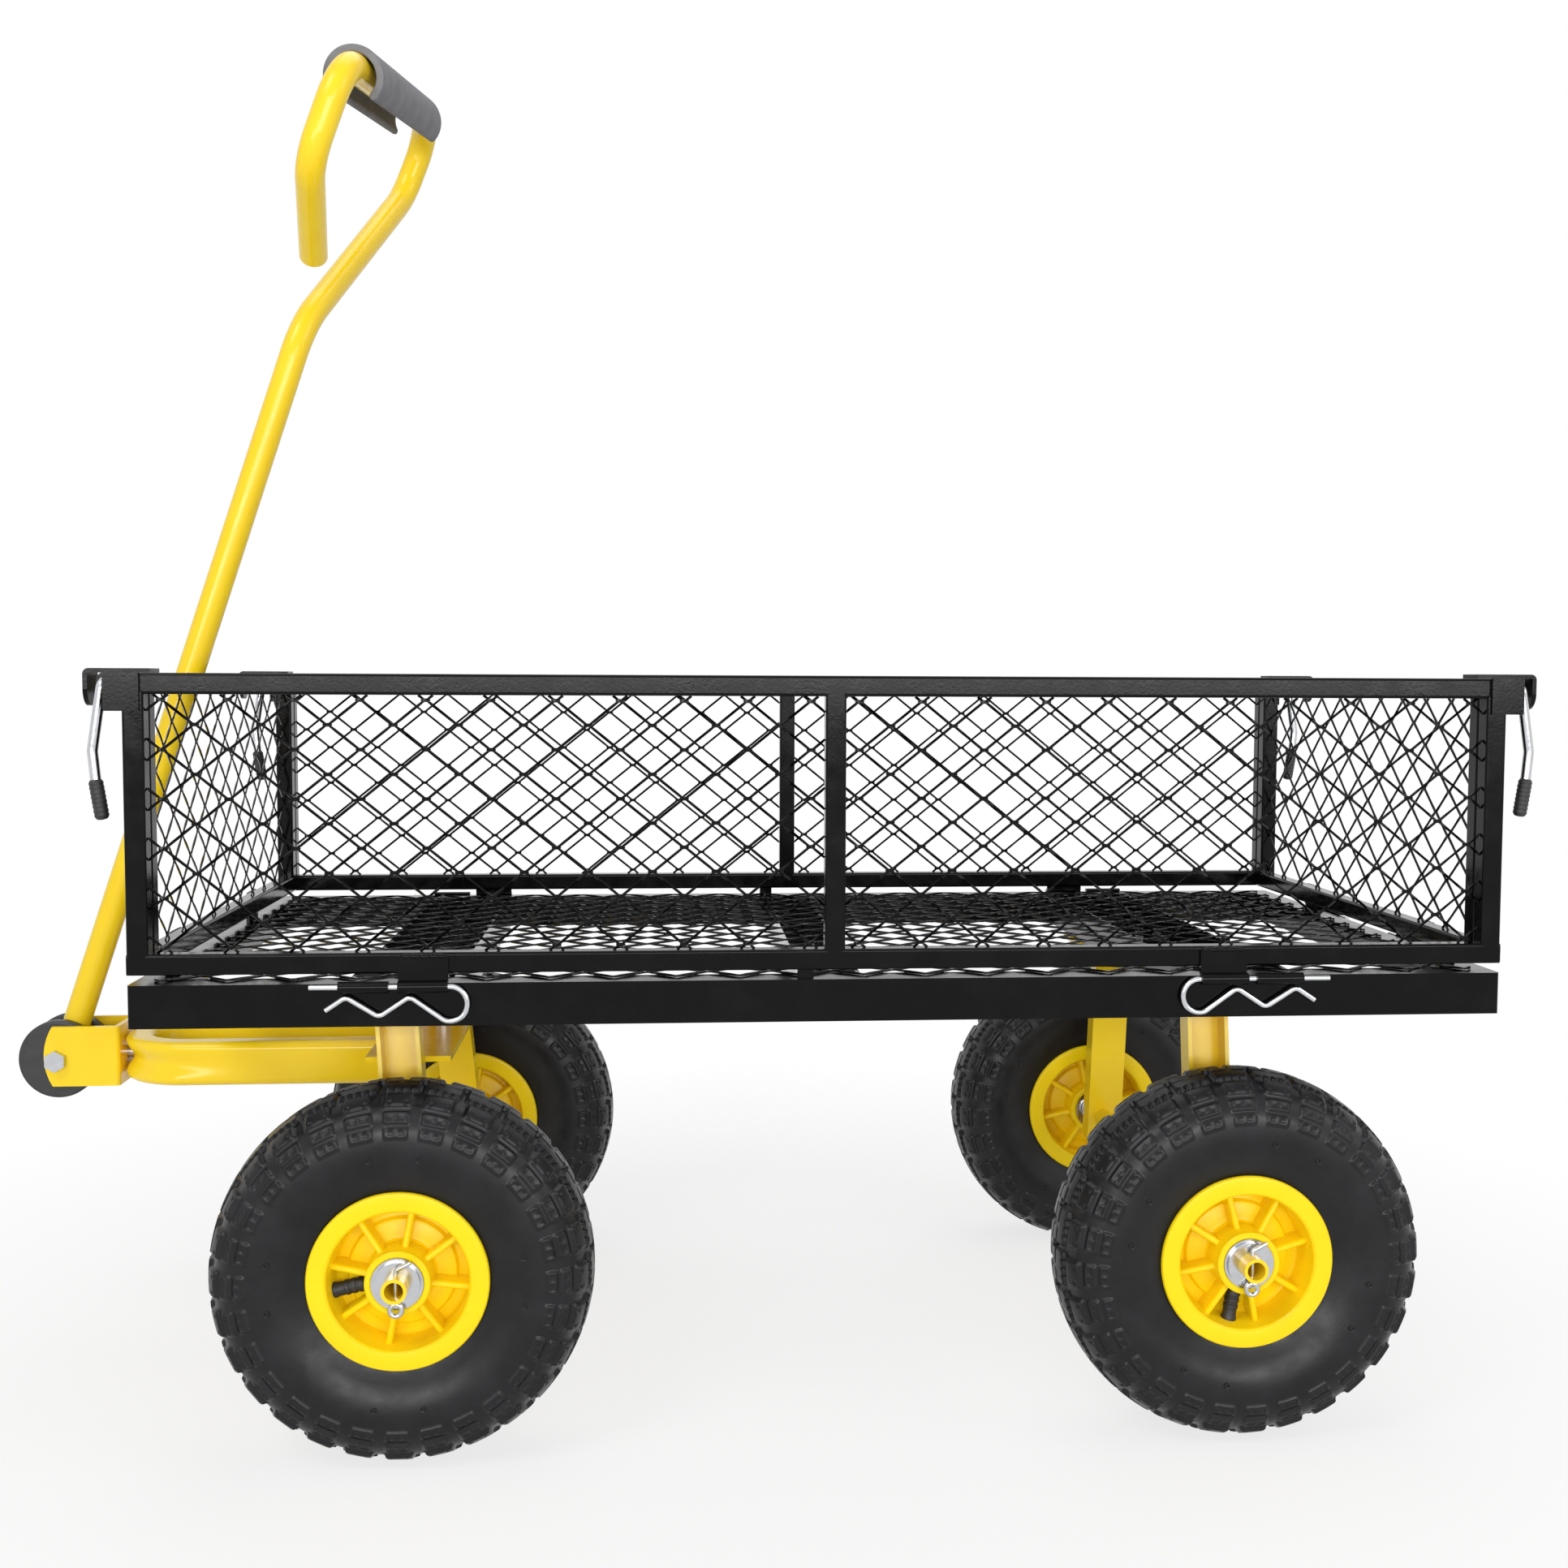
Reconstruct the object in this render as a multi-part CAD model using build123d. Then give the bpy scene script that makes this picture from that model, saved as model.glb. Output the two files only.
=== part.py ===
from build123d import *
import os
from math import acos, ceil, cos, pi, radians, sin, sqrt, tan

# A four-wheeled steel mesh garden cart. Millimetres. X runs from the handle end (-X) to the tail (+X),
# Y runs across the cart with the left side at -Y, and Z is up from the ground.

# Running fits shared by every moving piece
pin_clearance = 0.08
face_clearance = 0.3

# Bed frame: a tray of folded sheet, a deep skirt with a flange turned in along its top edge
bed_length = 940.0
bed_width = 490.0
bed_top = 330.0
skirt_height = 29.0
sheet_wall = 3.0
flange_width = 25.0
skirt_corner_round = 2.5
wide_member_width = 70.0
narrow_member_width = 40.0

# Drop-down panels of square tube
panel_height = 200.0
panel_gap = 6.5
tube_side = 14.0
tube_wall = 1.5
tube_round = 2.0
panel_end_gap = 0.7
rest_pad_length = 11.0
rest_pad_width = 9.0
rest_pad_offset = 20.0

# Expanded metal mesh
mesh_long_way = 43.0
mesh_short_way = 33.0
mesh_strand = 2.4
mesh_thickness = 2.0
floor_edge_cover = 12.0
floor_sheets = 3
floor_sheet_gap = 1.0

# Pin hinges: short barrels on the bed and on each panel, with a spring clip of wire as their pin
clip_wire_radius = 2.0
barrel_radius = 4.0
barrel_length = 33.0
barrel_spacing = 6.0
hinge_drop = 1.7
barrel_foot_height = 5.0
tab_thickness = 2.5
tab_start = 2.7
tab_rise = 20.0
front_hinge_inset = 174.0
rear_hinge_inset = 180.0
end_hinge_offset = 100.0
clip_tail = 19.0
clip_loop_radius = 11.65
clip_loop_clear = 1.0
clip_wave_bend = 5.0
clip_heel_bend = 8.0
clip_heel_length = 14.65
clip_peak_drop = 6.5
clip_valley_drop = 20.0
clip_first_peak = 26.2
clip_second_valley = 46.5
clip_second_peak = 68.0
clip_end = 81.5
clip_end_drop = 15.5

# Corner latches: a hooked strap on each end panel, a hanging lever and a keeper plate on the side panel
strap_thickness = 3.0
strap_width = 23.0
strap_inset = 2.3
strap_reach = 29.5
strap_bend = 4.0
lip_depth = 25.0
lip_round = 11.0
lever_radius = 3.5
lever_pivot_out = 15.0
lever_barrel_radius = 6.0
lever_weld = 0.5
lever_gap = 2.5
lever_knee_out = 22.0
lever_knee_drop = 46.0
lever_wrist_out = 20.0
lever_wrist_drop = 68.0
lever_end_out = 17.5
lever_end_drop = 84.0
lever_elbow_bend = 5.0
lever_bend = 15.0
grip_radius = 4.8
grip_length = 28.0
grip_cap = 8.0
keeper_thickness = 2.5
keeper_ear = 11.0
keeper_cover = 12.0
keeper_depth = 25.0

# Wheels
tyre_radius = 130.0
tyre_width = 85.0
tyre_wall = 6.5
crown_wall = 9.0
shoulder_drop = 8.0
shoulder_half = 31.0
tread_height = 3.1
tread_pitches = 28
tread_root = 1.5
centre_block = (0.0, 17.0)
centre_block_share = 0.86
shoulder_block = (22.0, 34.0)
shoulder_block_share = 0.68
tube_skin = 2.0
rim_seat_radius = 50.8
rim_flange_radius = 61.0
rim_flange_thickness = 4.0
rim_half_width = 31.0
rim_wall = 4.8
web_thickness = 8.0
hub_radius = 22.0
hub_length = 75.0
hub_bore_radius = 12.0
rib_count = 8
rib_thickness = 5.0
rib_height = 20.0
bearing_radius = 17.5
bearing_width = 10.0
bearing_groove_depth = 1.2
bearing_groove_width = 4.0
valve_radius = 4.5
valve_length = 27.0
valve_side = 17.0
front_valve_bay = 4
rear_valve_bay = 6
front_wheel_turn = 12.5
rear_wheel_turn = -9.5
half_track = 222.0
front_axle_from_front = 176.0
rear_axle_from_front = 758.5

# Axles and their fastenings
axle_radius = 8.5
axle_bore_radius = 6.25
axle_overhang = 15.5
washer_radius = 15.5
washer_thickness = 2.5
spacer_radius = 12.5
cotter_radius = 1.6
cotter_eye_radius = 4.0
cotter_inset = 9.0
cotter_head = 3.0
cotter_leg = 10.0

# Channel struts between the bed and the axles
strut_width = 31.0
strut_depth = 20.0
strut_wall = 3.0
strut_foot_inner = 156.0
strut_top_inner = 128.0
strut_foot_drop = 20.0
front_strut_lean = 16.0
rear_strut_offset = 2.0
pad_length = 76.0
pad_width = 56.0
pad_thickness = 4.0
chassis_bolt_radius = 4.0
chassis_bolt_spread = 48.0
bolt_head_height = 5.5
nut_height = 6.5
thread_end = 8.0

# Steering head
steering_gap = 0.3
steering_plate_thickness = 4.0
steering_plate_length = 76.0
steering_plate_width = 300.0
tie_plate_length = 62.0
tie_plate_width = 200.0
kingpin_radius = 6.0
kingpin_end = 229.0

# Drawbar yoke, clevis and pull handle
yoke_height = 34.0
yoke_width = 22.0
yoke_wall = 2.5
yoke_round = 5.0
yoke_centre_height = 236.0
yoke_half_gap = 45.0
yoke_end_short = 13.0
clevis_wall = 4.0
clevis_height = 47.0
clevis_nose = 9.5
clevis_nose_bulge = 6.5
clevis_web_behind = 44.0
clevis_rise = 3.0
pivot_ahead = 120.0
pivot_height = 234.0
pivot_bolt_radius = 5.0
pivot_head_radius = 8.5
yoke_bolt_radius = 5.0
disc_radius = 30.5
disc_thickness = 9.5
disc_edge = 2.0
handle_radius = 10.5
handle_wall = 2.0
handle_lean = 18.4
handle_tail = 14.0
shaft_length = 600.0
loop_back_tilt = 3.0
loop_throat = 8.0
loop_far_elbow = (160.0, 160.0)
loop_far_corner = (158.0, 226.0)
loop_near_corner = (-150.0, 172.0)
loop_near_elbow = (-143.0, 100.0)
loop_free_end = (-44.0, 54.0)
loop_bends = (60.0, 40.0, 30.0, 30.0, 35.0)
foam_radius = 22.0
foam_wall = 6.0
foam_length = 222.0
foam_near_margin = 29.0
foam_slit_angle = 95.0
foam_slit_turn = 169.0

# Places worked out from the sizes above
front_reach = pivot_ahead + disc_radius
overall_length = front_reach + bed_length + strap_reach
bed_front = front_reach - overall_length / 2
bed_rear = bed_front + bed_length
bed_middle = bed_front + bed_length / 2
half_width = bed_width / 2
bed_bottom = bed_top - skirt_height
panel_bottom = bed_top + panel_gap
panel_top = panel_bottom + panel_height
side_inner = half_width - tube_side
end_half = side_inner - panel_end_gap
hinge_out = barrel_radius + face_clearance
hinge_height = bed_top - hinge_drop
axle_height = tyre_radius
crown_radius = tyre_radius - tread_height
crown_curve = (shoulder_half**2 + shoulder_drop**2) / (2 * shoulder_drop)
front_axle_x = bed_front + front_axle_from_front
rear_axle_x = bed_front + rear_axle_from_front
axle_half = half_track + hub_length / 2 + axle_overhang
pad_bottom = bed_bottom - pad_thickness
steering_top = bed_bottom - steering_gap
steering_under = steering_top - steering_plate_thickness
tie_bottom = yoke_centre_height + yoke_height / 2
tie_top = tie_bottom + steering_plate_thickness
pivot_x = bed_front - pivot_ahead
yoke_nose_x = pivot_x + clevis_web_behind + clevis_wall
yoke_bend_x = yoke_nose_x + yoke_width / 2 + yoke_half_gap
yoke_end_x = front_axle_x - yoke_end_short
clevis_inner = handle_radius + disc_thickness + face_clearance
clevis_outer = clevis_inner + clevis_wall
strap_outer_y = end_half - strap_inset
strap_inner_y = strap_outer_y - strap_width
lever_arm_y = strap_outer_y + lever_gap + lever_radius
lever_height = panel_top - lever_barrel_radius + lever_weld

sides = {"left": -1, "right": 1}
ends = {"front": -1, "rear": 1}
end_face = {"front": bed_front, "rear": bed_rear}
nodes = {}


def block(x_pair, y_pair, z_pair):
    """A box between two values on each axis, given in either order."""
    pairs = (x_pair, y_pair, z_pair)
    middle = [(a + b) / 2 for a, b in pairs]
    size = [abs(b - a) for a, b in pairs]
    return Pos(*middle) * Box(*size)


def rod(start, end, radius):
    """A round bar between two points."""
    axis = Vector(*end) - Vector(*start)
    bar = Cylinder(radius, axis.length, align=(Align.CENTER, Align.CENTER, Align.MIN))
    return Plane(origin=start, z_dir=axis) * bar


def sleeve(start, end, outer, inner):
    """A round bar with a bore through its length."""
    return rod(start, end, outer) - rod(start, end, inner)


def rounded_path(points, bends):
    """Straight runs through the points, with an arc of the given radius at each inner point."""
    points = [Vector(*p) for p in points]
    edges = []
    start = points[0]
    for before, corner, after, bend in zip(points, points[1:], points[2:], bends):
        back = (before - corner).normalized()
        ahead = (after - corner).normalized()
        half_angle = acos(back.dot(ahead)) / 2
        reach = bend / tan(half_angle)
        middle = corner + (back + ahead).normalized() * (bend / sin(half_angle) - bend)
        edges.append(Line(start, corner + back * reach))
        edges.append(ThreePointArc(corner + back * reach, middle, corner + ahead * reach))
        start = corner + ahead * reach
    edges.append(Line(start, points[-1]))
    return Wire([edge.edge() for edge in edges])


def bent_rod(points, bends, radius, bore=0.0):
    """A round bar or tube swept along straight runs and arcs."""
    path = rounded_path(points, bends)
    section = Circle(radius)
    if bore:
        section -= Circle(bore)
    return sweep(Plane(origin=path @ 0, z_dir=path % 0) * section, path=path)


def square_tube(x_pair, y_pair, z_pair, along):
    """A length of square tube with rounded edges and closed ends."""
    skin = block(x_pair, y_pair, z_pair)
    skin = fillet(skin.edges().filter_by(along), tube_round)
    inner = []
    for a, b in (x_pair, y_pair, z_pair):
        inner.append((min(a, b) + tube_wall, max(a, b) - tube_wall))
    return skin - block(*inner)


def mesh_sheet(width, height):
    """A flat sheet of expanded metal: a rectangle with rows of diamond gaps, centred on the origin."""
    half_long = mesh_long_way / 2
    half_short = mesh_short_way / 2
    apothem = half_long * half_short / sqrt(half_long**2 + half_short**2)
    shrink = 1 - mesh_strand / 2 / apothem
    tips = [(half_long, 0), (0, half_short), (-half_long, 0), (0, -half_short)]
    gap = Polygon(*[(x * shrink, y * shrink) for x, y in tips], align=None)
    columns = ceil(width / mesh_long_way) + 1
    rows = ceil(height / mesh_short_way) + 1
    whole = []
    cut = []
    for column in range(-columns, columns + 1):
        for row in range(-rows, rows + 1):
            x = column * half_long
            y = row * half_short
            past_x = (abs(x) - width / 2) / half_long / shrink
            past_y = (abs(y) - height / 2) / half_short / shrink
            if (column + row) % 2 or max(past_x, past_y) > 1:
                continue
            if max(past_x, past_y) < -1:
                whole.append((Pos(x, y) * gap).face().outer_wire())
            else:
                cut.append(Pos(x, y) * gap)
    faces = (Rectangle(width, height) - cut).faces().sort_by(SortBy.AREA)
    faces[-1] = faces[-1].make_holes(whole)
    foot = Pos(0, 0, -mesh_thickness / 2)
    return Compound([Solid.extrude(foot * face, Vector(0, 0, mesh_thickness)) for face in faces])


def hinge_stations():
    """Name, panel, plane and outward sign of every hinge: local x runs from bed barrel to clip loop."""
    stations = []
    for side, across in sides.items():
        front = (bed_front + front_hinge_inset, across * (half_width + hinge_out), hinge_height)
        rear = (bed_rear - rear_hinge_inset, across * (half_width + hinge_out), hinge_height)
        stations.append((f"{side}_front", side, Plane(front, x_dir=(1, 0, 0), z_dir=(0, 0, 1)), across))
        stations.append((f"{side}_rear", side, Plane(rear, x_dir=(-1, 0, 0), z_dir=(0, 0, 1)), -across))
    for end, facing in ends.items():
        for side, across in sides.items():
            spot = (end_face[end] + facing * hinge_out, across * end_hinge_offset, hinge_height)
            plane = Plane(spot, x_dir=(0, across, 0), z_dir=(0, 0, 1))
            stations.append((f"{end}_{side}", end, plane, -across * facing))
    return stations


def hinge_barrel(first, last):
    return rod((first, 0, 0), (last, 0, 0), barrel_radius)


def hinge_bore():
    reach = barrel_length + barrel_spacing
    return rod((-reach, 0, 0), (reach, 0, 0), clip_wire_radius + pin_clearance)


def panel_leaf(outward):
    """The barrel and welded tab that a panel turns on."""
    near = barrel_spacing / 2
    far = near + barrel_length
    tab_y = (-outward * hinge_out, -outward * (hinge_out - tab_thickness))
    tab = block((near, far), tab_y, (tab_start, tab_rise))
    return hinge_barrel(near, far) + tab - hinge_bore()


def bed_leaf(outward):
    """The barrel welded to the skirt, on its short foot."""
    near = -barrel_spacing / 2
    far = near - barrel_length
    foot_z = (-barrel_foot_height / 2, barrel_foot_height / 2 - hinge_drop)
    foot = block((near, far), (-outward * hinge_out, 0), foot_z)
    return hinge_barrel(near, far) + foot - hinge_bore()


def spring_clip(place):
    """A wire clip: a straight leg through both barrels, a round loop and a waved spring leg below."""
    barrel_end = barrel_spacing / 2 + barrel_length
    loop = barrel_end + clip_loop_clear + clip_loop_radius
    bottom = -2 * clip_loop_radius
    heel = loop - clip_heel_length
    base = barrel_end + clip_loop_clear
    profile = [
        (-barrel_end - clip_tail, 0),
        (loop, 0),
        (loop, bottom),
        (heel, bottom),
        (base - clip_first_peak, -clip_peak_drop),
        (base - clip_second_valley, -clip_valley_drop),
        (base - clip_second_peak, -clip_peak_drop),
        (base - clip_end, -clip_end_drop),
    ]
    bends = [clip_loop_radius - 0.05] * 2 + [clip_heel_bend] + [clip_wave_bend] * 3
    points = [place.from_local_coords(Vector(x, 0, z)) for x, z in profile]
    return bent_rod(points, bends, clip_wire_radius)


def add_bed():
    frame = block((bed_front, bed_rear), (-half_width, half_width), (bed_bottom, bed_top))
    frame = fillet(frame.edges().filter_by(Axis.Z), skirt_corner_round)
    inner_x = (bed_front + sheet_wall, bed_rear - sheet_wall)
    inner_y = (-half_width + sheet_wall, half_width - sheet_wall)
    frame -= block(inner_x, inner_y, (bed_bottom, bed_top - sheet_wall))
    open_x = (bed_front + flange_width, bed_rear - flange_width)
    open_y = (-half_width + flange_width, half_width - flange_width)
    frame -= block(open_x, open_y, (bed_bottom, bed_top))
    nodes["bed_frame"] = frame

    members = []
    for x, width in (
        (front_axle_x, wide_member_width),
        (bed_middle, narrow_member_width),
        (rear_axle_x + rear_strut_offset, wide_member_width),
    ):
        outer = block((x - width / 2, x + width / 2), open_y, (bed_bottom, bed_top))
        inner_half = width / 2 - sheet_wall
        inner = block((x - inner_half, x + inner_half), open_y, (bed_bottom + sheet_wall, bed_top))
        members.append(outer - inner)
    kingpin_hole = rod((front_axle_x, 0, bed_bottom), (front_axle_x, 0, bed_top), kingpin_radius)
    members[0] -= kingpin_hole
    for x, y in chassis_bolt_spots():
        members[2] -= rod((x, y, bed_bottom), (x, y, bed_top), chassis_bolt_radius)
    nodes["bed_cross_members"] = Compound(members)

    length = bed_length - 2 * (flange_width - floor_edge_cover) - (floor_sheets - 1) * floor_sheet_gap
    length = length / floor_sheets
    width = bed_width - 2 * (flange_width - floor_edge_cover)
    first = bed_front + flange_width - floor_edge_cover + length / 2
    sheet = mesh_sheet(length, width)
    sheets = []
    for index in range(floor_sheets):
        x = first + index * (length + floor_sheet_gap)
        sheets.append(Pos(x, 0, bed_top + mesh_thickness / 2) * sheet)
    nodes["floor_mesh"] = Compound([solid for sheet in sheets for solid in sheet.solids()])

    leaves = [place * bed_leaf(outward) for _, _, place, outward in hinge_stations()]
    nodes["bed_hinge_barrels"] = Compound(leaves)


def chassis_bolt_spots():
    """Centres of the four bolts that hold the tail struts to the rear cross member."""
    spots = []
    for across in sides.values():
        y = across * (strut_top_inner + strut_depth / 2)
        for step in (-0.5, 0.5):
            spots.append((rear_axle_x + rear_strut_offset + step * chassis_bolt_spread, y))
    return spots


def panel_leaves(panel):
    own = [station for station in hinge_stations() if station[1] == panel]
    return [place * panel_leaf(outward) for _, _, place, outward in own]


def add_side_panel(side, across):
    """A long panel: two rails, three posts, two mesh bays, hinge leaves and two keeper plates."""
    outer = across * half_width
    inner = across * side_inner
    rails = []
    for z in (panel_bottom, panel_top - tube_side):
        rails.append(square_tube((bed_front, bed_rear), (inner, outer), (z, z + tube_side), Axis.X))
    post_z = (panel_bottom + tube_side - tube_round, panel_top - tube_side + tube_round)
    posts = []
    for x in (bed_front, bed_middle - tube_side / 2, bed_rear - tube_side):
        posts.append(square_tube((x, x + tube_side), (inner, outer), post_z, Axis.Z))
    frame = rails[0] + rails[1] + posts
    for facing in ends.values():
        face = bed_front if facing < 0 else bed_rear
        x_pair = (face + facing * keeper_ear, face - facing * keeper_cover)
        y_pair = (outer, outer + across * keeper_thickness)
        frame += block(x_pair, y_pair, (panel_top - keeper_depth, panel_top))
    pad_x = bed_middle - rest_pad_offset
    pad_y = across * (half_width - tube_side / 2)
    frame += block(
        (pad_x - rest_pad_length / 2, pad_x + rest_pad_length / 2),
        (pad_y - rest_pad_width / 2, pad_y + rest_pad_width / 2),
        (bed_top + face_clearance, panel_bottom + tube_round),
    )
    frame += panel_leaves(side)
    nodes[f"{side}_panel_frame"] = frame

    bay_length = (bed_length - 3 * tube_side) / 2
    bay_height = panel_height - 2 * tube_side
    sheet = mesh_sheet(bay_length, bay_height)
    bays = []
    for x in (bed_front + tube_side + bay_length / 2, bed_rear - tube_side - bay_length / 2):
        centre = (x, across * (half_width - tube_side / 2), panel_bottom + panel_height / 2)
        bays.append(Plane(centre, x_dir=(1, 0, 0), z_dir=(0, -1, 0)) * sheet)
    nodes[f"{side}_panel_mesh"] = Compound([solid for bay in bays for solid in bay.solids()])


def latch_strap(end, across):
    """A strap welded on the top rail that reaches out over the lever and turns down in a lip."""
    facing = ends[end]
    face = end_face[end]
    y_pair = (across * strap_inner_y, across * strap_outer_y)
    reach = face + facing * strap_reach
    top = block((face - facing * tube_side, reach), y_pair, (panel_top, panel_top + strap_thickness))
    lip_x = (reach - facing * strap_thickness, reach)
    strap_top = panel_top + strap_thickness
    strap = top + block(lip_x, y_pair, (strap_top - lip_depth, strap_top))
    corner = [e for e in strap.edges().filter_by(Axis.Y) if abs(e.center().X - reach) < tube_wall]
    corner = [e for e in corner if e.center().Z > panel_top]
    strap = fillet(corner, strap_bend)
    lower = [e for e in strap.edges().filter_by(Axis.X) if e.center().Z < panel_top - strap_bend]
    strap = fillet(lower, lip_round)
    pivot_x = face + facing * lever_pivot_out
    start = (pivot_x, across * (strap_inner_y + lever_weld), lever_height)
    stop = (pivot_x, across * (strap_outer_y - lever_weld), lever_height)
    strap += rod(start, stop, lever_barrel_radius)
    bore_start = (pivot_x, across * (strap_inner_y - lever_gap), lever_height)
    bore_stop = (pivot_x, across * (strap_outer_y + lever_gap), lever_height)
    return strap - rod(bore_start, bore_stop, lever_radius + pin_clearance)


def add_end_panel(end, facing):
    """A short panel between the long ones: two rails, two posts, one mesh bay, leaves and straps."""
    outer = end_face[end]
    inner = outer - facing * tube_side
    rails = []
    for z in (panel_bottom, panel_top - tube_side):
        rails.append(square_tube((inner, outer), (-end_half, end_half), (z, z + tube_side), Axis.Y))
    post_z = (panel_bottom + tube_side - tube_round, panel_top - tube_side + tube_round)
    posts = []
    for y in (-end_half, end_half - tube_side):
        posts.append(square_tube((inner, outer), (y, y + tube_side), post_z, Axis.Z))
    frame = rails[0] + rails[1] + posts
    frame += panel_leaves(end)
    frame += [latch_strap(end, across) for across in sides.values()]
    nodes[f"{end}_panel_frame"] = frame

    sheet = mesh_sheet(2 * (end_half - tube_side), panel_height - 2 * tube_side)
    centre = (outer - facing * tube_side / 2, 0, panel_bottom + panel_height / 2)
    bay = Plane(centre, x_dir=(0, 1, 0), z_dir=(1, 0, 0)) * sheet
    nodes[f"{end}_panel_mesh"] = Compound(bay.solids())


def add_latch_levers():
    """A zinc rod hanging from each strap, with a moulded sleeve on its lower end."""
    for end, facing in ends.items():
        for side, across in sides.items():

            def spot(out, y, drop):
                return (end_face[end] + facing * out, across * y, lever_height - drop)

            points = [
                spot(lever_pivot_out, strap_inner_y, 0),
                spot(lever_pivot_out, lever_arm_y, 0),
                spot(lever_knee_out, lever_arm_y, lever_knee_drop),
                spot(lever_wrist_out, lever_arm_y, lever_wrist_drop),
                spot(lever_end_out, lever_arm_y, lever_end_drop),
            ]
            bends = [lever_elbow_bend, lever_bend, lever_bend]
            nodes[f"latch_lever_{end}_{side}"] = bent_rod(points, bends, lever_radius)
            wrist = Vector(*points[3])
            tip = Vector(*points[4])
            axis = (tip - wrist).normalized()
            start = tip - axis * (grip_length - grip_cap)
            nodes[f"lever_grip_{end}_{side}"] = (
                rod(start, (tip + axis * grip_cap), grip_radius)
                - rod(start, tip, lever_radius)
            )


def add_spring_clips():
    for name, _, place, _ in hinge_stations():
        nodes[f"spring_clip_{name}"] = spring_clip(place)


def revolve_wheel(edges):
    """Turn a closed outline of radius and axial offset about the wheel's own axis."""
    return revolve(make_face(Wire([edge.edge() for edge in edges])), axis=Axis.Y)


def half_outline(points):
    """An outline of lines and arcs, drawn on one side of the wheel's middle and mirrored across it."""
    edges = []
    for kind, *spots in points:
        for sign in (1, -1):
            flipped = [(radius, sign * offset) for radius, offset in spots]
            edges.append(Line(*flipped) if kind == "line" else ThreePointArc(*flipped))
    return edges


def tread_point(height, along):
    """A point of the tyre's section, so far above the crown and so far along it from the middle."""
    turn = along / crown_curve
    reach = crown_curve + height
    return (crown_radius - crown_curve + reach * cos(turn), reach * sin(turn))


def tread_block(span, share, across):
    """One raised block of the tread, rooted in the crown: a short length of a ring."""
    start, stop = span
    rows = []
    for height in (-tread_root, tread_height):
        spots = [tread_point(height, along) for along in (start, (start + stop) / 2, stop)]
        rows.append([(radius, across * offset_) for radius, offset_ in spots])
    low, high = rows
    edges = [ThreePointArc(*low), ThreePointArc(*high), Line(low[0], high[0]), Line(low[2], high[2])]
    section = make_face(Wire([edge.edge() for edge in edges]))
    return revolve(section, axis=Axis.Y, revolution_arc=share * 360 / tread_pitches)


def tyre_shape():
    """An open tyre with rows of centre and shoulder blocks, those of one side half a pitch behind."""
    half = tyre_width / 2
    seat = rim_seat_radius + face_clearance
    heel = rim_half_width - face_clearance
    lip = rim_flange_radius + 1.0
    bulge = (seat + tyre_radius) / 2
    shoulder = crown_radius - shoulder_drop
    heel_inside = heel - tyre_wall
    side_inside = half - tyre_wall
    belt = half - crown_wall - tyre_wall
    belt_radius = tyre_radius - crown_wall - tyre_wall
    outline = half_outline([
        ("line", (seat, heel), (lip, heel)),
        ("arc", (lip, heel), ((lip + bulge) / 2 - 2, half - 3.5), (bulge, half)),
        ("arc", (bulge, half), ((bulge + shoulder) / 2 + 2, half - 3.0), (shoulder, shoulder_half)),
        ("line", (seat, heel), (seat, heel_inside)),
        ("line", (seat, heel_inside), (lip, heel_inside)),
        ("arc", (lip, heel_inside), ((lip + bulge) / 2, side_inside - 2.5), (bulge, side_inside)),
        ("arc", (bulge, side_inside), ((bulge + belt_radius) / 2, side_inside - 2), (belt_radius, belt)),
    ])
    outline.append(ThreePointArc((shoulder, shoulder_half), (crown_radius, 0), (shoulder, -shoulder_half)))
    outline.append(ThreePointArc((belt_radius, belt), (tyre_radius - crown_wall, 0), (belt_radius, -belt)))
    blocks = []
    for across, lag in ((1, 0.5), (-1, 0.0)):
        for span, share in ((centre_block, centre_block_share), (shoulder_block, shoulder_block_share)):
            raised = tread_block(span, share, across)
            for index in range(tread_pitches):
                turn = (index + lag + share / 2) * 360 / tread_pitches
                blocks.append(Rot(0, -turn, 0) * raised)
    return revolve_wheel(outline) + blocks


def inner_tube_shape(outward, angle):
    """The air tube inside the tyre, hollow, with its rubber valve stem coming in through the rim."""
    half = tyre_width / 2
    seat = rim_seat_radius + face_clearance
    lip = rim_flange_radius + 1.0
    heel = rim_half_width - tyre_wall - 2 * face_clearance
    bulge = (seat + tyre_radius) / 2
    side = half - tyre_wall - 3 * face_clearance
    belt_radius = tyre_radius - crown_wall - tyre_wall - 2 * face_clearance
    belt = half - crown_wall - tyre_wall - 2 * face_clearance
    crown = tyre_radius - crown_wall - 2 * face_clearance
    outline = half_outline([
        ("line", (seat, heel), (lip, heel)),
        ("line", (lip, heel), (bulge, side - 1.5)),
        ("line", (bulge, side - 1.5), (belt_radius, belt)),
    ])
    outline.append(Line((seat, heel), (seat, -heel)))
    outline.append(ThreePointArc((belt_radius, belt), (crown - 1.0, 0), (belt_radius, -belt)))
    skin = make_face(Wire([edge.edge() for edge in outline]))
    hollow = offset(skin, amount=-tube_skin)
    tube = revolve(skin - hollow, axis=Axis.Y)
    turn = radians(angle)
    direction = (cos(turn), 0, sin(turn))
    foot = [c * (seat + tube_skin / 2) for c in direction]
    tip = [c * (seat - valve_length) for c in direction]
    foot[1] = tip[1] = outward * valve_side
    return tube + rod(foot, tip, valve_radius)


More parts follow.
